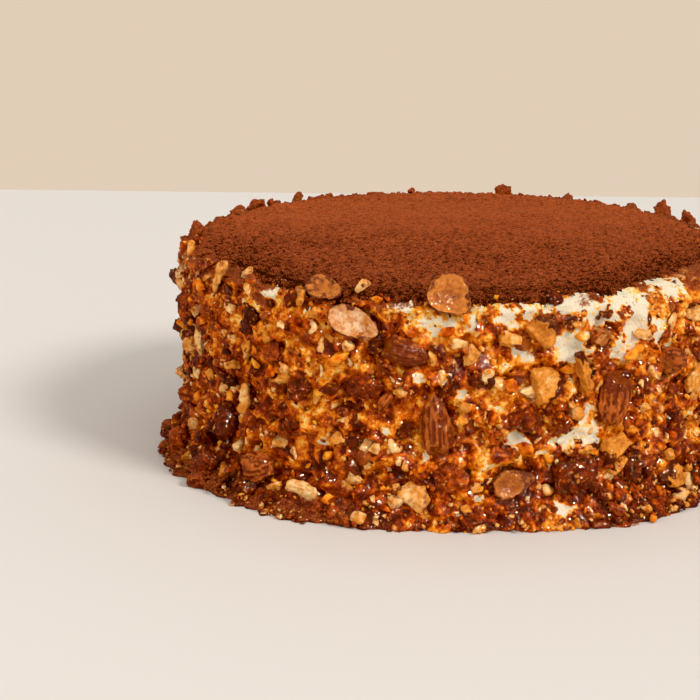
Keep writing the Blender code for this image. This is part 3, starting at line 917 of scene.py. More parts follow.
def in_patch(angle, height, patch_angle, patch_height, width, tall, turn=0.0, ragged=0.0):
    """1 well inside an oval on the side, 0 outside. Sizes are in metres."""
    across = np.radians((angle - patch_angle + 180) % 360 - 180) * SIDE_RADIUS
    up = height - patch_height
    c, s = math.cos(math.radians(turn)), math.sin(math.radians(turn))
    along, over = across * c + up * s, -across * s + up * c
    return 1 - smooth_step(0.8, 1.1, np.hypot(along / (width / 2), over / (tall / 2)) + ragged)


def clean_cream(points, angle, height):
    """1 where the cream is left clean of caramel and nuts, 0 elsewhere. The patches have ragged edges."""
    rng = random.Random(SEED + 2)
    patches = [(a, h * MM, w * MM, t * MM) for a, h, w, t in CREAM_SHOWS]
    for _ in range(BACK_CREAM_COUNT):
        tall = rng.uniform(3, 8) * MM
        place = (rng.uniform(-35, 175), rng.triangular(8, 76, 70) * MM)
        patches.append((*place, rng.uniform(3, 11) * MM, tall))
    ragged = 0.75 * noise_at(points, 4 * MM, 21) + 0.6 * noise_at(points, 1.7 * MM, 23)
    clean = np.zeros(len(angle))
    for patch in patches:
        clean = np.maximum(clean, in_patch(angle, height, *patch, ragged=ragged))
    return clean


def mark_coat(coat, angle, height, clean, clumps, pieces):
    """Stores on the cream how stained it is, together with painted shade in its hollows, round the pieces and
    near the foot, how much it is covered, and how dusty with cocoa.
    """
    points = points_of(coat.data)
    broad = noise_at(points, 20 * MM, 3)
    spots = noise_at(points, 6 * MM, 13)
    drifts = noise_at(points, 7 * MM, 31) + 0.6 * noise_at(points, 3 * MM, 33)
    patchy = smooth_step(0.1, 0.4, noise_at(points, 14 * MM, 11))
    under = near_pieces(angle, height, pieces, 0)
    around = near_pieces(angle, height, pieces, 3 * MM)
    radius = np.hypot(points[:, 0], points[:, 1])
    open_side = (height > TINY) * smooth_step(*SIDE_BEGINS, radius)

    # Parts of the side, by their degrees from the middle of the one that faces the camera. Left is negative.
    from_front = (angle + 270) % 360 - 180
    left = smooth_step(38, 60, -from_front) * smooth_step(125, 100, -from_front)
    leftward = smooth_step(5, 40, -from_front) * smooth_step(150, 110, -from_front)
    rightward = smooth_step(-25, -5, from_front)
    front = smooth_step(80, 60, np.abs(from_front + 10))
    foot = smooth_step(9 * MM, 1 * MM, height + 6 * MM * spots)
    foot_left = smooth_step(5, 22, -from_front) * smooth_step(150, 110, -from_front)
    foot_right = smooth_step(25, 40, from_front) * smooth_step(80, 60, from_front)
    near_rim = smooth_step(64 * MM, 71 * MM, height)
    behind = smooth_step(-20 * MM, 10 * MM, points[:, 1]) * smooth_step(68 * MM, 72 * MM, height)
    pale = in_patch(angle, height, *PALE_PART, ragged=0.5 * spots)

    # The stain by noise, more to the left. Higher in the cream's hollows, where the clumps dip, and round the
    # pieces: partly caramel gathered there and partly painted shade.
    stain = 0.45 + 0.28 * broad + 0.34 * spots - 0.42 * clumps + 0.05 * around + 0.07 * leftward + 0.08 * left
    stain -= 0.17 * pale
    # Darker near the foot: caramel crumbs at the left and right, and in the lowest band partly more caramel
    # and partly painted shade. The least stain rises towards the bottom and to the left, so that less clean
    # cream shows there.
    foot_stain_and_shade = (0.05 + 0.35 * foot_left + 0.2 * foot_right) * foot + 0.18 * smooth_step(24 * MM, 8 * MM, height)
    least = 0.16 + 0.12 * (1 - height / BODY_HEIGHT) + 0.12 * leftward
    stain = np.clip(stain + foot_stain_and_shade, least, 1) - (0.8 - 0.15 * leftward) * clean
    set_attribute(coat.data, "stain", stain)

    cover = (1 - 0.2 * front) * (1 - 0.6 * near_rim * rightward)
    set_attribute(coat.data, "cover", (1 - under) * open_side * (1 - 0.95 * clean) * cover * (1 - 0.3 * pale))
    set_attribute(coat.data, "crumbs", (1 - 0.6 * under) * open_side * (1 - 0.85 * clean))
    set_attribute(coat.data, "foot", smooth_step(4 * MM, 0.5 * MM, height) * (height > TINY))

    rim = smooth_step(64 * MM, 74 * MM, height + 7 * MM * drifts)
    dusty_foot = (0.1 + 0.4 * foot_left + 0.2 * foot_right) * foot
    dusty = 0.45 * rim * (1 - 0.5 * clean) + 0.2 * left + dusty_foot + 0.15 * patchy
    set_attribute(coat.data, "dusty", np.clip(np.maximum(dusty, behind), 0, 1))
    powder = smooth_step(69 * MM, 74 * MM, height + 4 * MM * drifts) * open_side * (1 - 0.8 * clean)
    set_attribute(coat.data, "powder", np.clip(powder + 0.12 * left + 0.15 * foot, 0, 1))


def search_tree(points):
    """A tree that finds the nearest of the points."""
    tree = kdtree.KDTree(len(points))
    for i, point in enumerate(points.tolist()):
        tree.insert(point, i)
    tree.balance()
    return tree


def pool_caramel(coat, pieces):
    """Darkens the cream close to the pieces, partly caramel gathered there and partly painted contact shade,
    draws it up to them, and stores on them where they are sunk.
    """
    tree = search_tree(np.concatenate([points_of(piece.data)[::3] for piece in pieces]))
    points = points_of(coat.data)
    away = np.array([tree.find(point)[2] for point in points.tolist()])
    near = np.exp(-((away / POOL_REACH) ** 2))
    # Painted contact shade as well as caramel: the cream is darker the nearer it lies to a piece.
    stain = get_attribute(coat.data, "stain")
    set_attribute(coat.data, "stain", np.clip(stain + POOL_STAIN_AND_SHADE * near, 0, 1))
    outward = points * (1, 1, 0)
    outward /= np.maximum(np.linalg.norm(outward, axis=1), 1e-6)[:, None]
    on_side = smooth_step(*SIDE_BEGINS, np.hypot(points[:, 0], points[:, 1]))
    points = points + outward * (POOL_CLIMB * near * on_side)[:, None]
    move_points(coat.data, points)
    tree = search_tree(points)
    for piece in pieces:
        places = points_of(piece.data)
        nearest = [tree.find(place)[1] for place in places.tolist()]
        above = np.einsum("ij,ij->i", places - points[nearest], outward[nearest])
        set_attribute(piece.data, "wet", 0.55 * (1 - smooth_step(-0.3 * MM, 0.9 * MM, above)))


# ---------------------------------------------------------------- the cocoa


def cocoa_edges(points):
    """The radius to which the cocoa reaches, in the direction of each point. It wanders."""
    turn = np.arctan2(points[:, 1], points[:, 0])
    angles, reaches = zip(*COCOA_REACH)
    edges = np.interp(np.degrees(turn), angles, reaches, period=360) * MM
    around = np.stack([np.cos(turn), np.sin(turn), np.zeros(len(turn))], 1)
    for size, depth in ((1 / 6, 0.6), (1 / 18, 1.3), (1 / 45, 1.3), (1 / 120, 0.9)):
        edges += depth * MM * noise_at(around, size)
    return edges


def rim_height(radius):
    """How high the cream's top is at a radius, where it rounds over at the rim."""
    past = np.clip(radius - (SIDE_RADIUS - RIM_ROUNDING), 0, RIM_ROUNDING)
    return BODY_HEIGHT - RIM_ROUNDING + np.sqrt(RIM_ROUNDING**2 - past**2)


def mounds(points, places, width):
    """How much higher the mounds make each point. A hole is a mound of less than no height."""
    near = [(high, (points[:, 0] - x) ** 2 + (points[:, 1] - y) ** 2) for x, y, high in places]
    return sum(high * np.exp(-away / (2 * width**2)) for high, away in near)


def cocoa_layer():
    """A fine grid trimmed to a ragged round, grainy on top, its edge turned down to the cream."""
    bpy.ops.object.select_all(action="DESELECT")
    bpy.ops.mesh.primitive_grid_add(
        x_subdivisions=COCOA_GRID, y_subdivisions=COCOA_GRID, size=2 * COCOA_HALF_SIZE, location=(0, 0, 0)
    )
    layer = named("cocoa_powder")
    points = points_of(layer.data)
    outside = np.hypot(points[:, 0], points[:, 1]) > cocoa_edges(points)
    choose(layer, "VERT", outside)
    bpy.ops.mesh.delete(type="VERT")
    bpy.ops.object.mode_set(mode="OBJECT")
    points = points_of(layer.data).astype(float)
    radius = np.hypot(points[:, 0], points[:, 1])
    inside = cocoa_edges(points) - radius
    near_edge = 1 - smooth_step(5 * MM, 30 * MM, inside)
    points[:, 0] += 0.2 * MM * noise_at(points, 0.9 * MM, 2)
    points[:, 1] += 0.2 * MM * noise_at(points, 0.9 * MM, 6)
    rise = 0.35 * MM * noise_at(points, 18 * MM, 1)
    near_front = smooth_step(50 * MM, -30 * MM, points[:, 1])
    grain = noise_at(points, 2.2 * MM, 3) * (0.30 + 0.2 * near_front + 0.45 * near_edge) * MM
    grain += noise_at(points, 1.15 * MM, 7) * (0.35 + 0.4 * near_front + 0.4 * near_edge) * MM
    holes = mounds(points, COCOA_HOLES, HOLE_WIDTH)
    banks = mounds(points, COCOA_BANKS, BANK_WIDTH) + holes
    thin = 1 - np.clip(inside / (3 * MM), 0, 1)
    surface = np.minimum(COCOA_TOP + rise, rim_height(radius) + COCOA_SKIN + 0.5 * rise)
    points[:, 2] = surface - 0.6 * MM * thin**2 + grain + banks
    move_points(layer.data, points)
    # Painted shade: this value darkens the cocoa in the grain's hollows and in its holes, more towards the
    # front, and along the front edge, where the powder is also coarser.
    coarse_and_shaded = near_edge * smooth_step(30 * MM, -60 * MM, points[:, 1])
    pit = smooth_step(0.05 * MM, -0.35 * MM, grain) * (0.7 + 0.5 * near_front + 0.4 * coarse_and_shaded)
    pit += 0.4 * near_front + 0.45 * coarse_and_shaded - holes / (0.6 * MM)
    set_attribute(layer.data, "pit", pit)
    bpy.ops.object.mode_set(mode="EDIT")
    bpy.ops.mesh.select_mode(type="EDGE")
    bpy.ops.mesh.select_all(action="DESELECT")
    bpy.ops.mesh.select_non_manifold()
    bpy.ops.mesh.extrude_region_move(TRANSFORM_OT_translate={"value": (0, 0, -COCOA_EDGE_DEPTH)})
    bpy.ops.mesh.edge_face_add()
    bpy.ops.object.mode_set(mode="OBJECT")
    layer.data.shade_smooth()
    layer.data.materials.append(COCOA)
    return dress(layer, "cocoa", "cocoa_layer")


# ---------------------------------------------------------------- chips of nut and caramel


# A set of broken shapes of radius 1: how many, by how many planes each is cut and how near the middle, how
# many faces it has, the seed of its draws, how lumpy, rough and grainy it is, and its billows, each a size
# and a depth.
Shapes = namedtuple(
    "Shapes", "count cuts nearest faces seed lumps rough grain billows", defaults=(0.25, 0.05, 0.03, ())
)
SHAPES = {
    "tan_shape": Shapes(6, 6, 0.35, 900, 21, rough=0.12, grain=0.06),
    "skin_shape": Shapes(4, 2, 0.25, 900, 22),
    "amber_shape": Shapes(4, 5, 0.4, 900, 23, lumps=0.4),
    "dark_shape": Shapes(5, 9, 0.4, 1200, 24, lumps=0.6, rough=0.1, billows=((0.5, 0.14), (0.25, 0.08))),
    "tan_chip": Shapes(8, 6, 0.3, 130, 31, rough=0.12, grain=0.06),
    "skin_chip": Shapes(4, 4, 0.3, 90, 32),
    "shard_chip": Shapes(6, 6, 0.3, 70, 33, lumps=0.4, rough=0.1),
    "lump_chip": Shapes(6, 8, 0.35, 130, 34, lumps=0.6, billows=((0.6, 0.14), (0.25, 0.08))),
    "crumb_chip": Shapes(8, 6, 0.3, 26, 35, lumps=0.4),
    "cluster_chip": Shapes(6, 8, 0.4, 420, 36, lumps=0.7, billows=((0.6, 0.2), (0.25, 0.1))),
    "curd_chip": Shapes(5, 1, 0.6, 60, 37, lumps=0.6, billows=((0.8, 0.2),)),
}

# What is strewn over the cream: the piece's name, its shapes, its look, the cream's attribute that it goes
# by, how many there are to the square metre, how far apart (0 for any distance) and how large they are, in
# millimetres, and the seed of its draws. Favour_small is the power of the draw of sizes. Sink is how far a
# chip's middle lies out from the cream at least and at most, in halves of its size. Tilt is the most degrees
# that it lies out of level.
Strewn = namedtuple(
    "Strewn",
    "name shapes look mask density spacing smallest largest seed favour_small sink tilt",
    defaults=(2.0, (-0.4, 0.45), 35),
)
CHIPS = (
    Strewn("almond_chips", "tan_chip", "toasted", "cover", 30000, 5.5, 3, 9, 1, 1.5, (-0.3, 0.4)),
    Strewn("skin_chips", "skin_chip", "skin", "cover", 6000, 12, 3, 8, 2),
    Strewn("amber_shards", "shard_chip", "amber", "cover", 40000, 5, 2, 8, 3),
    Strewn("praline_crumbs", "lump_chip", "dark", "cover", 30000, 5, 3, 9, 4, 1.5),
    Strewn("praline_clusters", "cluster_chip", "dark", "cover", 9000, 14, 7, 12, 7, 1.2, tilt=20),
)
CRUMBS = (
    Strewn("cream_clumps", "curd_chip", "cream", "crumbs", 60000, 3.5, 1.2, 4, 9, sink=(-0.4, 0.2)),
    Strewn("cocoa_clumps", "crumb_chip", "cocoa", "powder", 300000, 0, 0.5, 1.9, 8, sink=(0.0, 0.8)),
    Strewn("almond_crumbs", "crumb_chip", "toasted", "crumbs", 30000, 0, 0.8, 3.2, 5, 2.5, (-0.2, 0.6)),
    Strewn("caramel_crumbs", "crumb_chip", "amber", "crumbs", 48000, 0, 0.8, 3.2, 6, 2.5, (-0.2, 0.6)),
    Strewn("dark_crumbs", "crumb_chip", "dark", "crumbs", 16000, 0, 1.4, 3.6, 10, 1.5, (-0.2, 0.4)),
    Strewn("foot_crumbs", "crumb_chip", "toasted", "foot", 110000, 0, 0.8, 3.6, 11, sink=(0.2, 2.2)),
    Strewn("foot_caramel", "crumb_chip", "dark", "foot", 220000, 0, 0.8, 3.6, 12, sink=(0.2, 2.2)),
)


def random_cuts(count, nearest, rng):
    """Planes that cut a ball of radius 1, as point and normal."""
    cuts = []
    for _ in range(count):
        normal = Vector((rng.gauss(0, 1), rng.gauss(0, 1), rng.gauss(0, 1))).normalized()
        cuts.append((normal * rng.uniform(nearest, nearest + 0.35), normal))
    return cuts


def chip(name, kind, rng):
    """A broken piece of radius 1: a lumpy ball, cut by planes, with soft edges and rough faces.

    The flesh attribute is 1 on the cuts and 0 on what is left of the ball.
    """
    cuts = random_cuts(kind.cuts, kind.nearest, rng)
    bpy.ops.object.select_all(action="DESELECT")
    bpy.ops.mesh.primitive_ico_sphere_add(subdivisions=4, radius=1)
    obj = named(name)
    shift = rng.uniform(0, 99)
    roughen(obj, ((0.9, kind.lumps),), shift)
    bpy.ops.object.mode_set(mode="EDIT")
    for point, normal in cuts:
        bpy.ops.mesh.select_all(action="SELECT")
        bpy.ops.mesh.bisect(plane_co=point, plane_no=normal, use_fill=True, clear_outer=True)
    bpy.ops.object.mode_set(mode="OBJECT")
    apply_modifier(obj, "REMESH", mode="VOXEL", voxel_size=0.07)
    apply_modifier(obj, "SMOOTH", factor=0.5, iterations=2)
    points = points_of(obj.data)
    near = np.full(len(points), 9.0)
    for point, normal in cuts:
        near = np.minimum(near, np.abs((points - np.array(point)) @ np.array(normal)))
    set_attribute(obj.data, "flesh", 1 - smooth_step(0.04, 0.14, near))
    set_attribute(obj.data, "ridge", np.clip(0.5 + 1.2 * noise_at(points * (0.15, 1, 1), 0.25, shift), 0, 1))
    roughen(obj, ((0.45, kind.rough), (0.18, kind.grain)), shift, kind.billows)
    apply_modifier(obj, "DECIMATE", ratio=min(1.0, kind.faces / len(obj.data.polygons) / 2))
    obj.data.shade_smooth()
    return obj


def shape_set(name):
    """The chips of one set of shapes."""
    kind = SHAPES[name]
    rng = random.Random(kind.seed)
    return [chip(f"{name}_{i}", kind, rng) for i in range(kind.count)]


def remove(objects):
    for obj in list(objects):
        bpy.data.objects.remove(obj)


def scatter_tree(kind, shapes):
    """Geometry nodes that strew a collection's shapes over a mesh and make them real."""
    tree = bpy.data.node_groups.new(kind.name, "GeometryNodeTree")
    tree.interface.new_socket("Geometry", in_out="INPUT", socket_type="NodeSocketGeometry")
    tree.interface.new_socket("Geometry", in_out="OUTPUT", socket_type="NodeSocketGeometry")
    given, out = tree.nodes.new("NodeGroupInput"), tree.nodes.new("NodeGroupOutput")

    def chance(low, high, seed, data_type="FLOAT"):
        first = {"FLOAT": 2, "FLOAT_VECTOR": 0, "INT": 4}[data_type]
        inputs = {first: low, first + 1: high, "Seed": kind.seed + seed}
        made = put(tree, "FunctionNodeRandomValue", inputs, data_type=data_type)
        return made.outputs[{"FLOAT": 1, "FLOAT_VECTOR": 0, "INT": 2}[data_type]]

    share = put(tree, "GeometryNodeInputNamedAttribute", {"Name": kind.mask}).outputs["Attribute"]
    inputs = {"Mesh": given.outputs[0], "Seed": kind.seed}
    if kind.spacing:
        apart = kind.spacing * MM
        inputs.update({"Distance Min": apart, "Density Max": kind.density, "Density Factor": share})
        method = "POISSON"
    else:
        inputs["Density"] = maths(tree, "MULTIPLY", share, kind.density)
        method = "RANDOM"
    strewn = put(tree, "GeometryNodeDistributePointsOnFaces", inputs, distribute_method=method)

    draw = maths(tree, "POWER", chance(0, 1, 1), kind.favour_small)
    smallest, largest = kind.smallest * MM, kind.largest * MM
    size = maths(tree, "MULTIPLY_ADD", draw, 0.5 * (largest - smallest), 0.5 * smallest)
    lift = maths(tree, "MULTIPLY", size, chance(*kind.sink, 2))
    normal = strewn.outputs["Normal"]
    offset = put(tree, "ShaderNodeVectorMath", {0: normal, "Scale": lift}, operation="SCALE").outputs[0]
    lifted = put(tree, "GeometryNodeSetPosition", {"Geometry": strewn.outputs["Points"], "Offset": offset})

    tilt = math.radians(kind.tilt)
    euler = chance((-tilt, -tilt, 0), (tilt, tilt, 2 * math.pi), 3, "FLOAT_VECTOR")
    turn = put(tree, "FunctionNodeEulerToRotation", {0: euler}).outputs[0]
    turns = {0: strewn.outputs["Rotation"], 1: turn}
    turned = put(tree, "FunctionNodeRotateRotation", turns, rotation_space="LOCAL")
    stretch = chance((0.8, 0.55, 0.4), (1.2, 1.0, 0.8), 4, "FLOAT_VECTOR")
    scale = put(tree, "ShaderNodeVectorMath", {0: stretch, "Scale": size}, operation="SCALE")

    choice = {"Collection": shapes, "Separate Children": True, "Reset Children": True}
    places = {
        "Points": lifted.outputs[0],
        "Instance": put(tree, "GeometryNodeCollectionInfo", choice).outputs[0],
        "Pick Instance": True,
        "Instance Index": chance(0, len(shapes.objects) - 1, 5, "INT"),
        "Rotation": turned.outputs[0],
        "Scale": scale.outputs[0],
    }
    placed = put(tree, "GeometryNodeInstanceOnPoints", places).outputs[0]
    tint = {"Geometry": placed, "Name": "tint", "Value": chance(0, 1, 6)}
    tinted = put(tree, "GeometryNodeStoreNamedAttribute", tint, data_type="FLOAT", domain="INSTANCE")
    real = put(tree, "GeometryNodeRealizeInstances", {0: tinted.outputs[0]}).outputs[0]
    finished = put(tree, "GeometryNodeSetMaterial", {"Geometry": real, "Material": LOOKS[kind.look][0]})
    tree.links.new(finished.outputs[0], out.inputs[0])
    return tree


def scatter(kind, surface, shapes):
    """A piece made of many chips strewn over the surface."""
    collection = bpy.data.collections.new(kind.name)
    bpy.context.scene.collection.children.link(collection)
    for shape in shapes:
        collection.objects.link(shape.copy())
    piece = bpy.data.objects.new(kind.name, surface.data.copy())
    bpy.context.scene.collection.objects.link(piece)
    piece.data.materials.clear()
    apply_modifier(piece, "NODES", node_group=scatter_tree(kind, collection))
    drop_sunken(piece)
    piece.data.name = kind.name
    remove(collection.objects)
    bpy.data.collections.remove(collection)
    for extra in ("cover", "crumbs", "powder", "foot", "UVMap"):
        if extra in piece.data.attributes:
            piece.data.attributes.remove(piece.data.attributes[extra])
    return dress(piece, LOOKS[kind.look][1])


# ---------------------------------------------------------------- large pieces

# Each kind's plain name and look, and its layers of noise and of billows, each a size and a depth in
# millimetres.
LARGE_KINDS = {
    "slice": ("almond_slice", "cut", ((6, 1.2), (2, 0.6), (1, 0.25)), ()),
    "chunk": ("almond_chunk", "toasted", ((5, 1.4), (2, 0.7), (1.1, 0.35)), ()),
    "shard": ("almond_shard", "toasted", ((4, 0.9), (1.5, 0.5)), ()),
    "almond": ("almond_in_skin", "skin", ((4, 0.6), (1.5, 0.5), (0.8, 0.22)), ()),
    "caramel": ("praline_lump", "dark", ((6, 1.4), (1.2, 0.5)), ((4, 1.1), (1.8, 0.7))),
}


def refined(node, name):
    """A copy of a large piece's solid, its facets rounded, its cuts flat, and its own axes stored."""
    mesh = frame["nodes"][node].data.copy()
    piece = bpy.data.objects.new(name, mesh)
    bpy.context.scene.collection.objects.link(piece)
    mesh.name = name
    mesh.materials.clear()
    only(piece)
    bpy.ops.object.mode_set(mode="EDIT")
    bpy.ops.mesh.select_all(action="SELECT")
    bpy.ops.mesh.remove_doubles(threshold=1e-5)
    bpy.ops.mesh.dissolve_limited(angle_limit=math.radians(1.5))
    bpy.ops.object.mode_set(mode="OBJECT")
    mesh = piece.data
    cut = [1.0 if len(face.vertices) > 4 else 0.0 for face in mesh.polygons]
    set_attribute(mesh, "flesh", cut, "FACE")
    corner_faces = {}
    for face in mesh.polygons:
        for key in face.edge_keys:
            corner_faces.setdefault(key, []).append(cut[face.index])
    creases = [CUT_CREASE * max(corner_faces[tuple(sorted(edge.vertices))]) for edge in mesh.edges]
    set_attribute(mesh, "crease_edge", creases, "EDGE")
    apply_modifier(piece, "SUBSURF", levels=LARGE_DIVISIONS, render_levels=LARGE_DIVISIONS)
    mesh = piece.data
    soften_flesh(mesh)
    points = points_of(mesh).astype(float)
    middle = points.mean(0)
    _, _, axes = np.linalg.svd(points - middle, full_matrices=False)
    own = (points - middle) @ axes.T
    stored = mesh.attributes.new("own", "FLOAT_VECTOR", "POINT")
    stored.data.foreach_set("vector", own.astype(np.float32).ravel())
    mesh.shade_smooth()
    return piece


def own_places(mesh):
    """Each point in the piece's own frame, long axis first, and as a share of the piece's reach."""
    own = values_of(mesh.attributes["own"].data, "vector", 3)
    return own, own / np.abs(own).max(0)


def hollow(piece, depth):
    """Sinks the middle of a slice's cut faces."""
    _, share = own_places(piece.data)
    swell(piece.data, -depth * np.clip(1 - share[:, 0] ** 2 - share[:, 1] ** 2, 0, 1))


def groove(piece, depth):
    """Runs uneven grooves along an almond's skin, and stores where it is raised between them; the finish
    paints the skin lighter on these ridges and darker in the grooves, as painted light and shade.
    """
    own, share = own_places(piece.data)
    wave = np.clip(3 * noise_at(own * (0.07, 1, 1), 1.1 * MM, 5), -1, 1)
    wave = 0.7 * wave + 0.5 * np.clip(2 * noise_at(own * (0.1, 1, 1), 0.6 * MM, 8), -1, 1)
    taper = np.sqrt(np.clip(1 - share[:, 0] ** 2, 0, 1))
    swell(piece.data, depth * wave * taper)
    set_attribute(piece.data, "ridge", np.clip(0.5 + 0.5 * wave * taper, 0, 1))


def leave_skin(piece):
    """Leaves streaks of skin on the left part of a slice."""
    mesh = piece.data
    points = points_of(mesh)
    across = points[:, 0] - points[:, 0].mean()
    streaks = smooth_step(-0.1, 0.2, noise_at(points * (0.5, 1, 1), 2.2 * MM, 4))
    streaks *= smooth_step(2 * MM, -1 * MM, across)
    set_attribute(mesh, "flesh", get_attribute(mesh, "flesh") - 0.9 * streaks)


def keep_skin_side(made, piece, across, up):
    """Leaves skin on one side of a piece, with a ragged edge."""
    mesh = made.data
    points = points_of(mesh).astype(float)
    around = math.radians(piece.angle)
    reach = (points - points.mean(0)) @ (-math.sin(around) * across, math.cos(around) * across, up)
    reach = reach / np.abs(reach).max() + 0.35 * noise_at(points, 2 * MM, 6)
    set_attribute(mesh, "flesh", get_attribute(mesh, "flesh") - 1.6 * smooth_step(0.3, 0.45, reach))


def soften_flesh(mesh):
    """Turns the flesh of whole faces into soft values at the points."""
    count = len(mesh.vertices)
    a, b = values_of(mesh.edges, "vertices", 2, np.int32).T
    corners = values_of(mesh.loops, "vertex_index", kind=np.int32)
    face = np.repeat(get_attribute(mesh, "flesh"), values_of(mesh.polygons, "loop_total", kind=np.int32))
    value = np.bincount(corners, face, count) / np.maximum(np.bincount(corners, minlength=count), 1)
    neighbours = np.bincount(a, minlength=count) + np.bincount(b, minlength=count)
    for _ in range(SOFTENING_PASSES):
        around = np.bincount(a, value[b], count) + np.bincount(b, value[a], count)
        value = 0.5 * value + 0.5 * around / np.maximum(neighbours, 1)
    mesh.attributes.remove(mesh.attributes["flesh"])
    set_attribute(mesh, "flesh", value)


def large_piece(node, piece, rng):
    """The finished copy of one large piece."""
    plain, look, layers, billows = LARGE_KINDS[piece.kind]
    material, slot = LOOKS[look]
    number = node.split("_")[1]
    made = refined(node, f"{plain}_{number}")
    roughen(made, in_metres(layers), rng.uniform(0, 50), in_metres(billows))
    if piece.kind == "slice":
        hollow(made, SLICE_HOLLOW)
    if piece.kind == "almond":
        groove(made, SKIN_GROOVE)
    if node == HALF_PEELED:
        leave_skin(made)
    if node in SKIN_SIDES:
        keep_skin_side(made, piece, *SKIN_SIDES[node])
    tint = TINTS.get(node, rng.uniform(0.1, 0.9) + 0.5 * (piece.kind == "slice"))
    height = points_of(made.data)[:, 2]
    above = height - height.mean() if node == DARK_TOPPED else 0 * height
    set_attribute(made.data, "tint", tint + 1.4 * smooth_step(1 * MM, 5 * MM, above))
    set_attribute(made.data, "dusty", [0.3 * (piece.angle < DUSTY_LEFT_OF) + 0.05] * len(height))
    made.data.materials.append(material)
    return dress(made, slot, node)


# ---------------------------------------------------------------- small pieces

# Each kind's look, and the name of the piece that holds all of that kind.
SMALL_KINDS = {
    "tan": ("toasted", "almond_bits"),
    "skin": ("skin", "almond_skin_bits"),
    "amber": ("amber", "amber_bits"),
    "dark": ("dark", "praline_bits"),
}


def small_piece(piece, shape, rng):
    """A copy of the shape at a small piece's place."""
    copy = shape.copy()
    copy.data = shape.data.copy()
    bpy.context.scene.collection.objects.link(copy)
    size = Vector((piece.length, piece.width, piece.thickness)) * 0.5 * MM
    spin = Matrix.Rotation(rng.uniform(0, 2 * math.pi), 4, "X")
    copy.data.transform(placing(piece) @ Matrix.Diagonal((*size, 1)) @ spin)
    count = len(copy.data.vertices)
    behind = piece.height > POWDERED_ABOVE and not -180 < piece.angle < -10
    dusty = 1.0 * behind + 0.3 * (piece.angle < DUSTY_LEFT_OF) + 0.1
    set_attribute(copy.data, "tint", [rng.uniform(0, 1)] * count)
    set_attribute(copy.data, "dusty", [min(1, dusty)] * count)
    return copy


def small_pieces(small):
    """The small pieces, modelled once in a few shapes and copied to their places, joined by kind."""
    made = []
    rng = random.Random(SEED + 4)
    for kind, (look, name) in SMALL_KINDS.items():
        material, slot = LOOKS[look]
        shapes = shape_set(f"{kind}_shape")
        copies = [small_piece(piece, rng.choice(shapes), rng) for piece in small if piece.kind == kind]
        remove(shapes)
        whole = joined(copies, name)
        roughen(whole, in_metres(((2.5, 0.5), (1.0, 0.2))))
        whole.data.materials.clear()
        whole.data.materials.append(material)
        made.append(dress(whole, slot))
    return made


# ---------------------------------------------------------------- room, light, camera


def stage():
    """The surface below the cake, and the light of the room, which looks darker than it shines."""
    bpy.ops.object.select_all(action="DESELECT")
    bpy.ops.mesh.primitive_plane_add(size=1, location=(0, -0.75, -0.1 * MM))
    floor = named("floor")
    floor.scale = (6, 2.5, 1)
    bpy.ops.object.transform_apply(location=True, rotation=True, scale=True)
    material, _, _ = start_material("floor", roughness=0.6, specular=0.2, base_color=(0.72, 0.695, 0.68, 1))
    floor.data.materials.append(material)
    floor.visible_glossy = False

    world = bpy.data.worlds.new("room")
    bpy.context.scene.world = world
    world.use_nodes = True
    tree = world.node_tree
    rays = put(tree, "ShaderNodeLightPath")
    seen = rays.outputs["Is Camera Ray"]
    background = tree.nodes["Background"]
    tree.links.new(blend(tree, seen, (1.0, 0.94, 0.86), (0.76, 0.62, 0.48)), background.inputs["Color"])
    unseen = mix(tree, rays.outputs["Is Glossy Ray"], 0.76, 0.10)
    tree.links.new(mix(tree, seen, unseen, 1.0), background.inputs["Strength"])


def light(kind, name, place, power, colour, hidden_from, target=(0, 0, 0), **form):
    """A light that shines at the target, and that one kind of ray doesn't see."""
    bpy.ops.object.light_add(type=kind, location=place)
    made = bpy.context.object
    made.name = name
    made.data.energy = power
    made.data.color = colour
    for key, value in form.items():
        setattr(made.data, key, value)
    setattr(made, hidden_from, False)
    made.rotation_mode = "QUATERNION"
    made.rotation_quaternion = (Vector(target) - Vector(place)).to_track_quat("-Z", "Y")


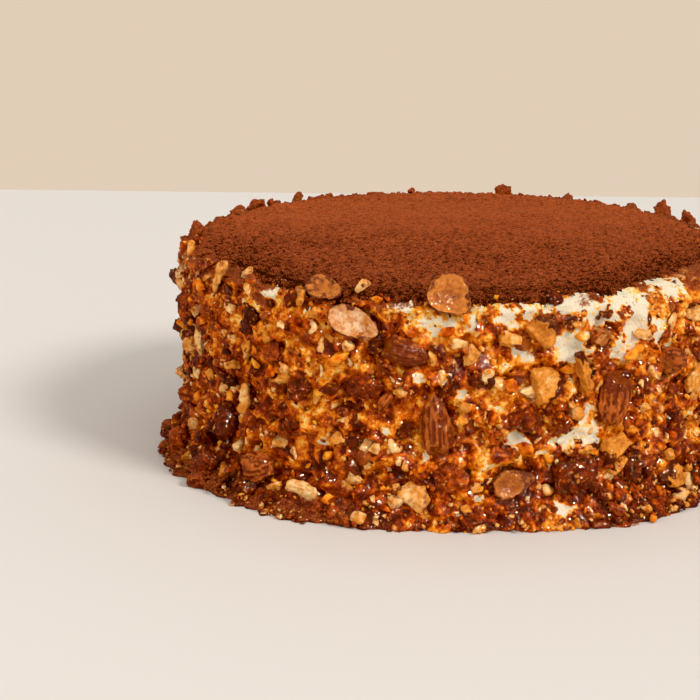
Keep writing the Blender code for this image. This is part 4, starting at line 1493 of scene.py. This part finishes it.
def lights():
    light("SUN", "key", (1.9, -1.6, 1.9), 2.0, (1.0, 0.95, 0.88), "visible_glossy", angle=math.radians(16))
    light("SUN", "glint", (1.2, -2.0, 1.4), 4.6, (1.0, 0.76, 0.52), "visible_diffuse", angle=math.radians(6))
    bounce = {"target": (0, 0, 0.04), "shape": "DISK", "size": 1.5}
    light("AREA", "bounce", (-2.2, -1.9, 1.0), 24, (1.0, 0.90, 0.78), "visible_glossy", **bounce)


def camera():
    """The photograph's camera."""
    down, yaw, roll = (math.radians(x) for x in (CAMERA_DOWN, CAMERA_YAW, CAMERA_ROLL))
    forward = Vector((math.sin(yaw) * math.cos(down), math.cos(yaw) * math.cos(down), -math.sin(down)))
    level = Vector((math.cos(yaw), -math.sin(yaw), 0))
    above = level.cross(forward)
    right = level * math.cos(roll) + above * math.sin(roll)
    up = above * math.cos(roll) - level * math.sin(roll)
    data = bpy.data.cameras.new("camera")
    data.lens = CAMERA_LENS
    data.sensor_width = 36
    data.clip_start = 0.01
    made = bpy.data.objects.new("camera", data)
    bpy.context.scene.collection.objects.link(made)
    made.matrix_world = Matrix.Translation(CAMERA_PLACE) @ Matrix((right, up, -forward)).transposed().to_4x4()
    bpy.context.scene.camera = made


def film():
    """Plain colours, with the darkest tones a little deeper and warmer."""
    view = bpy.context.scene.view_settings
    view.view_transform = "Standard"
    view.use_curve_mapping = True
    view.curve_mapping.black_level = (0.002, 0.003, 0.004)
    view.curve_mapping.update()


# ---------------------------------------------------------------- the cake


def main():
    large, small = all_pieces()

    coat = coat_mesh()
    angle, height, clean, clumps = shape_coat(coat, large)
    mark_coat(coat, angle, height, clean, clumps, large + small)
    coat.data.materials.append(CREAM)

    chips = {name: shape_set(name) for name in SHAPES if name.endswith("_chip")}
    rng = random.Random(SEED + 3)
    placed = [large_piece(f"{piece.kind}_{i + 1:02d}", piece, rng) for i, piece in enumerate(large)]
    placed += small_pieces(small)
    placed += [scatter(kind, coat, chips[kind.shapes]) for kind in CHIPS]
    pool_caramel(coat, placed)
    for kind in CRUMBS:
        scatter(kind, coat, chips[kind.shapes])
    for shapes in chips.values():
        remove(shapes)
    dress(coat, "cream", "cake")

    cocoa_layer()

    stage()
    lights()
    camera()
    film()


main()
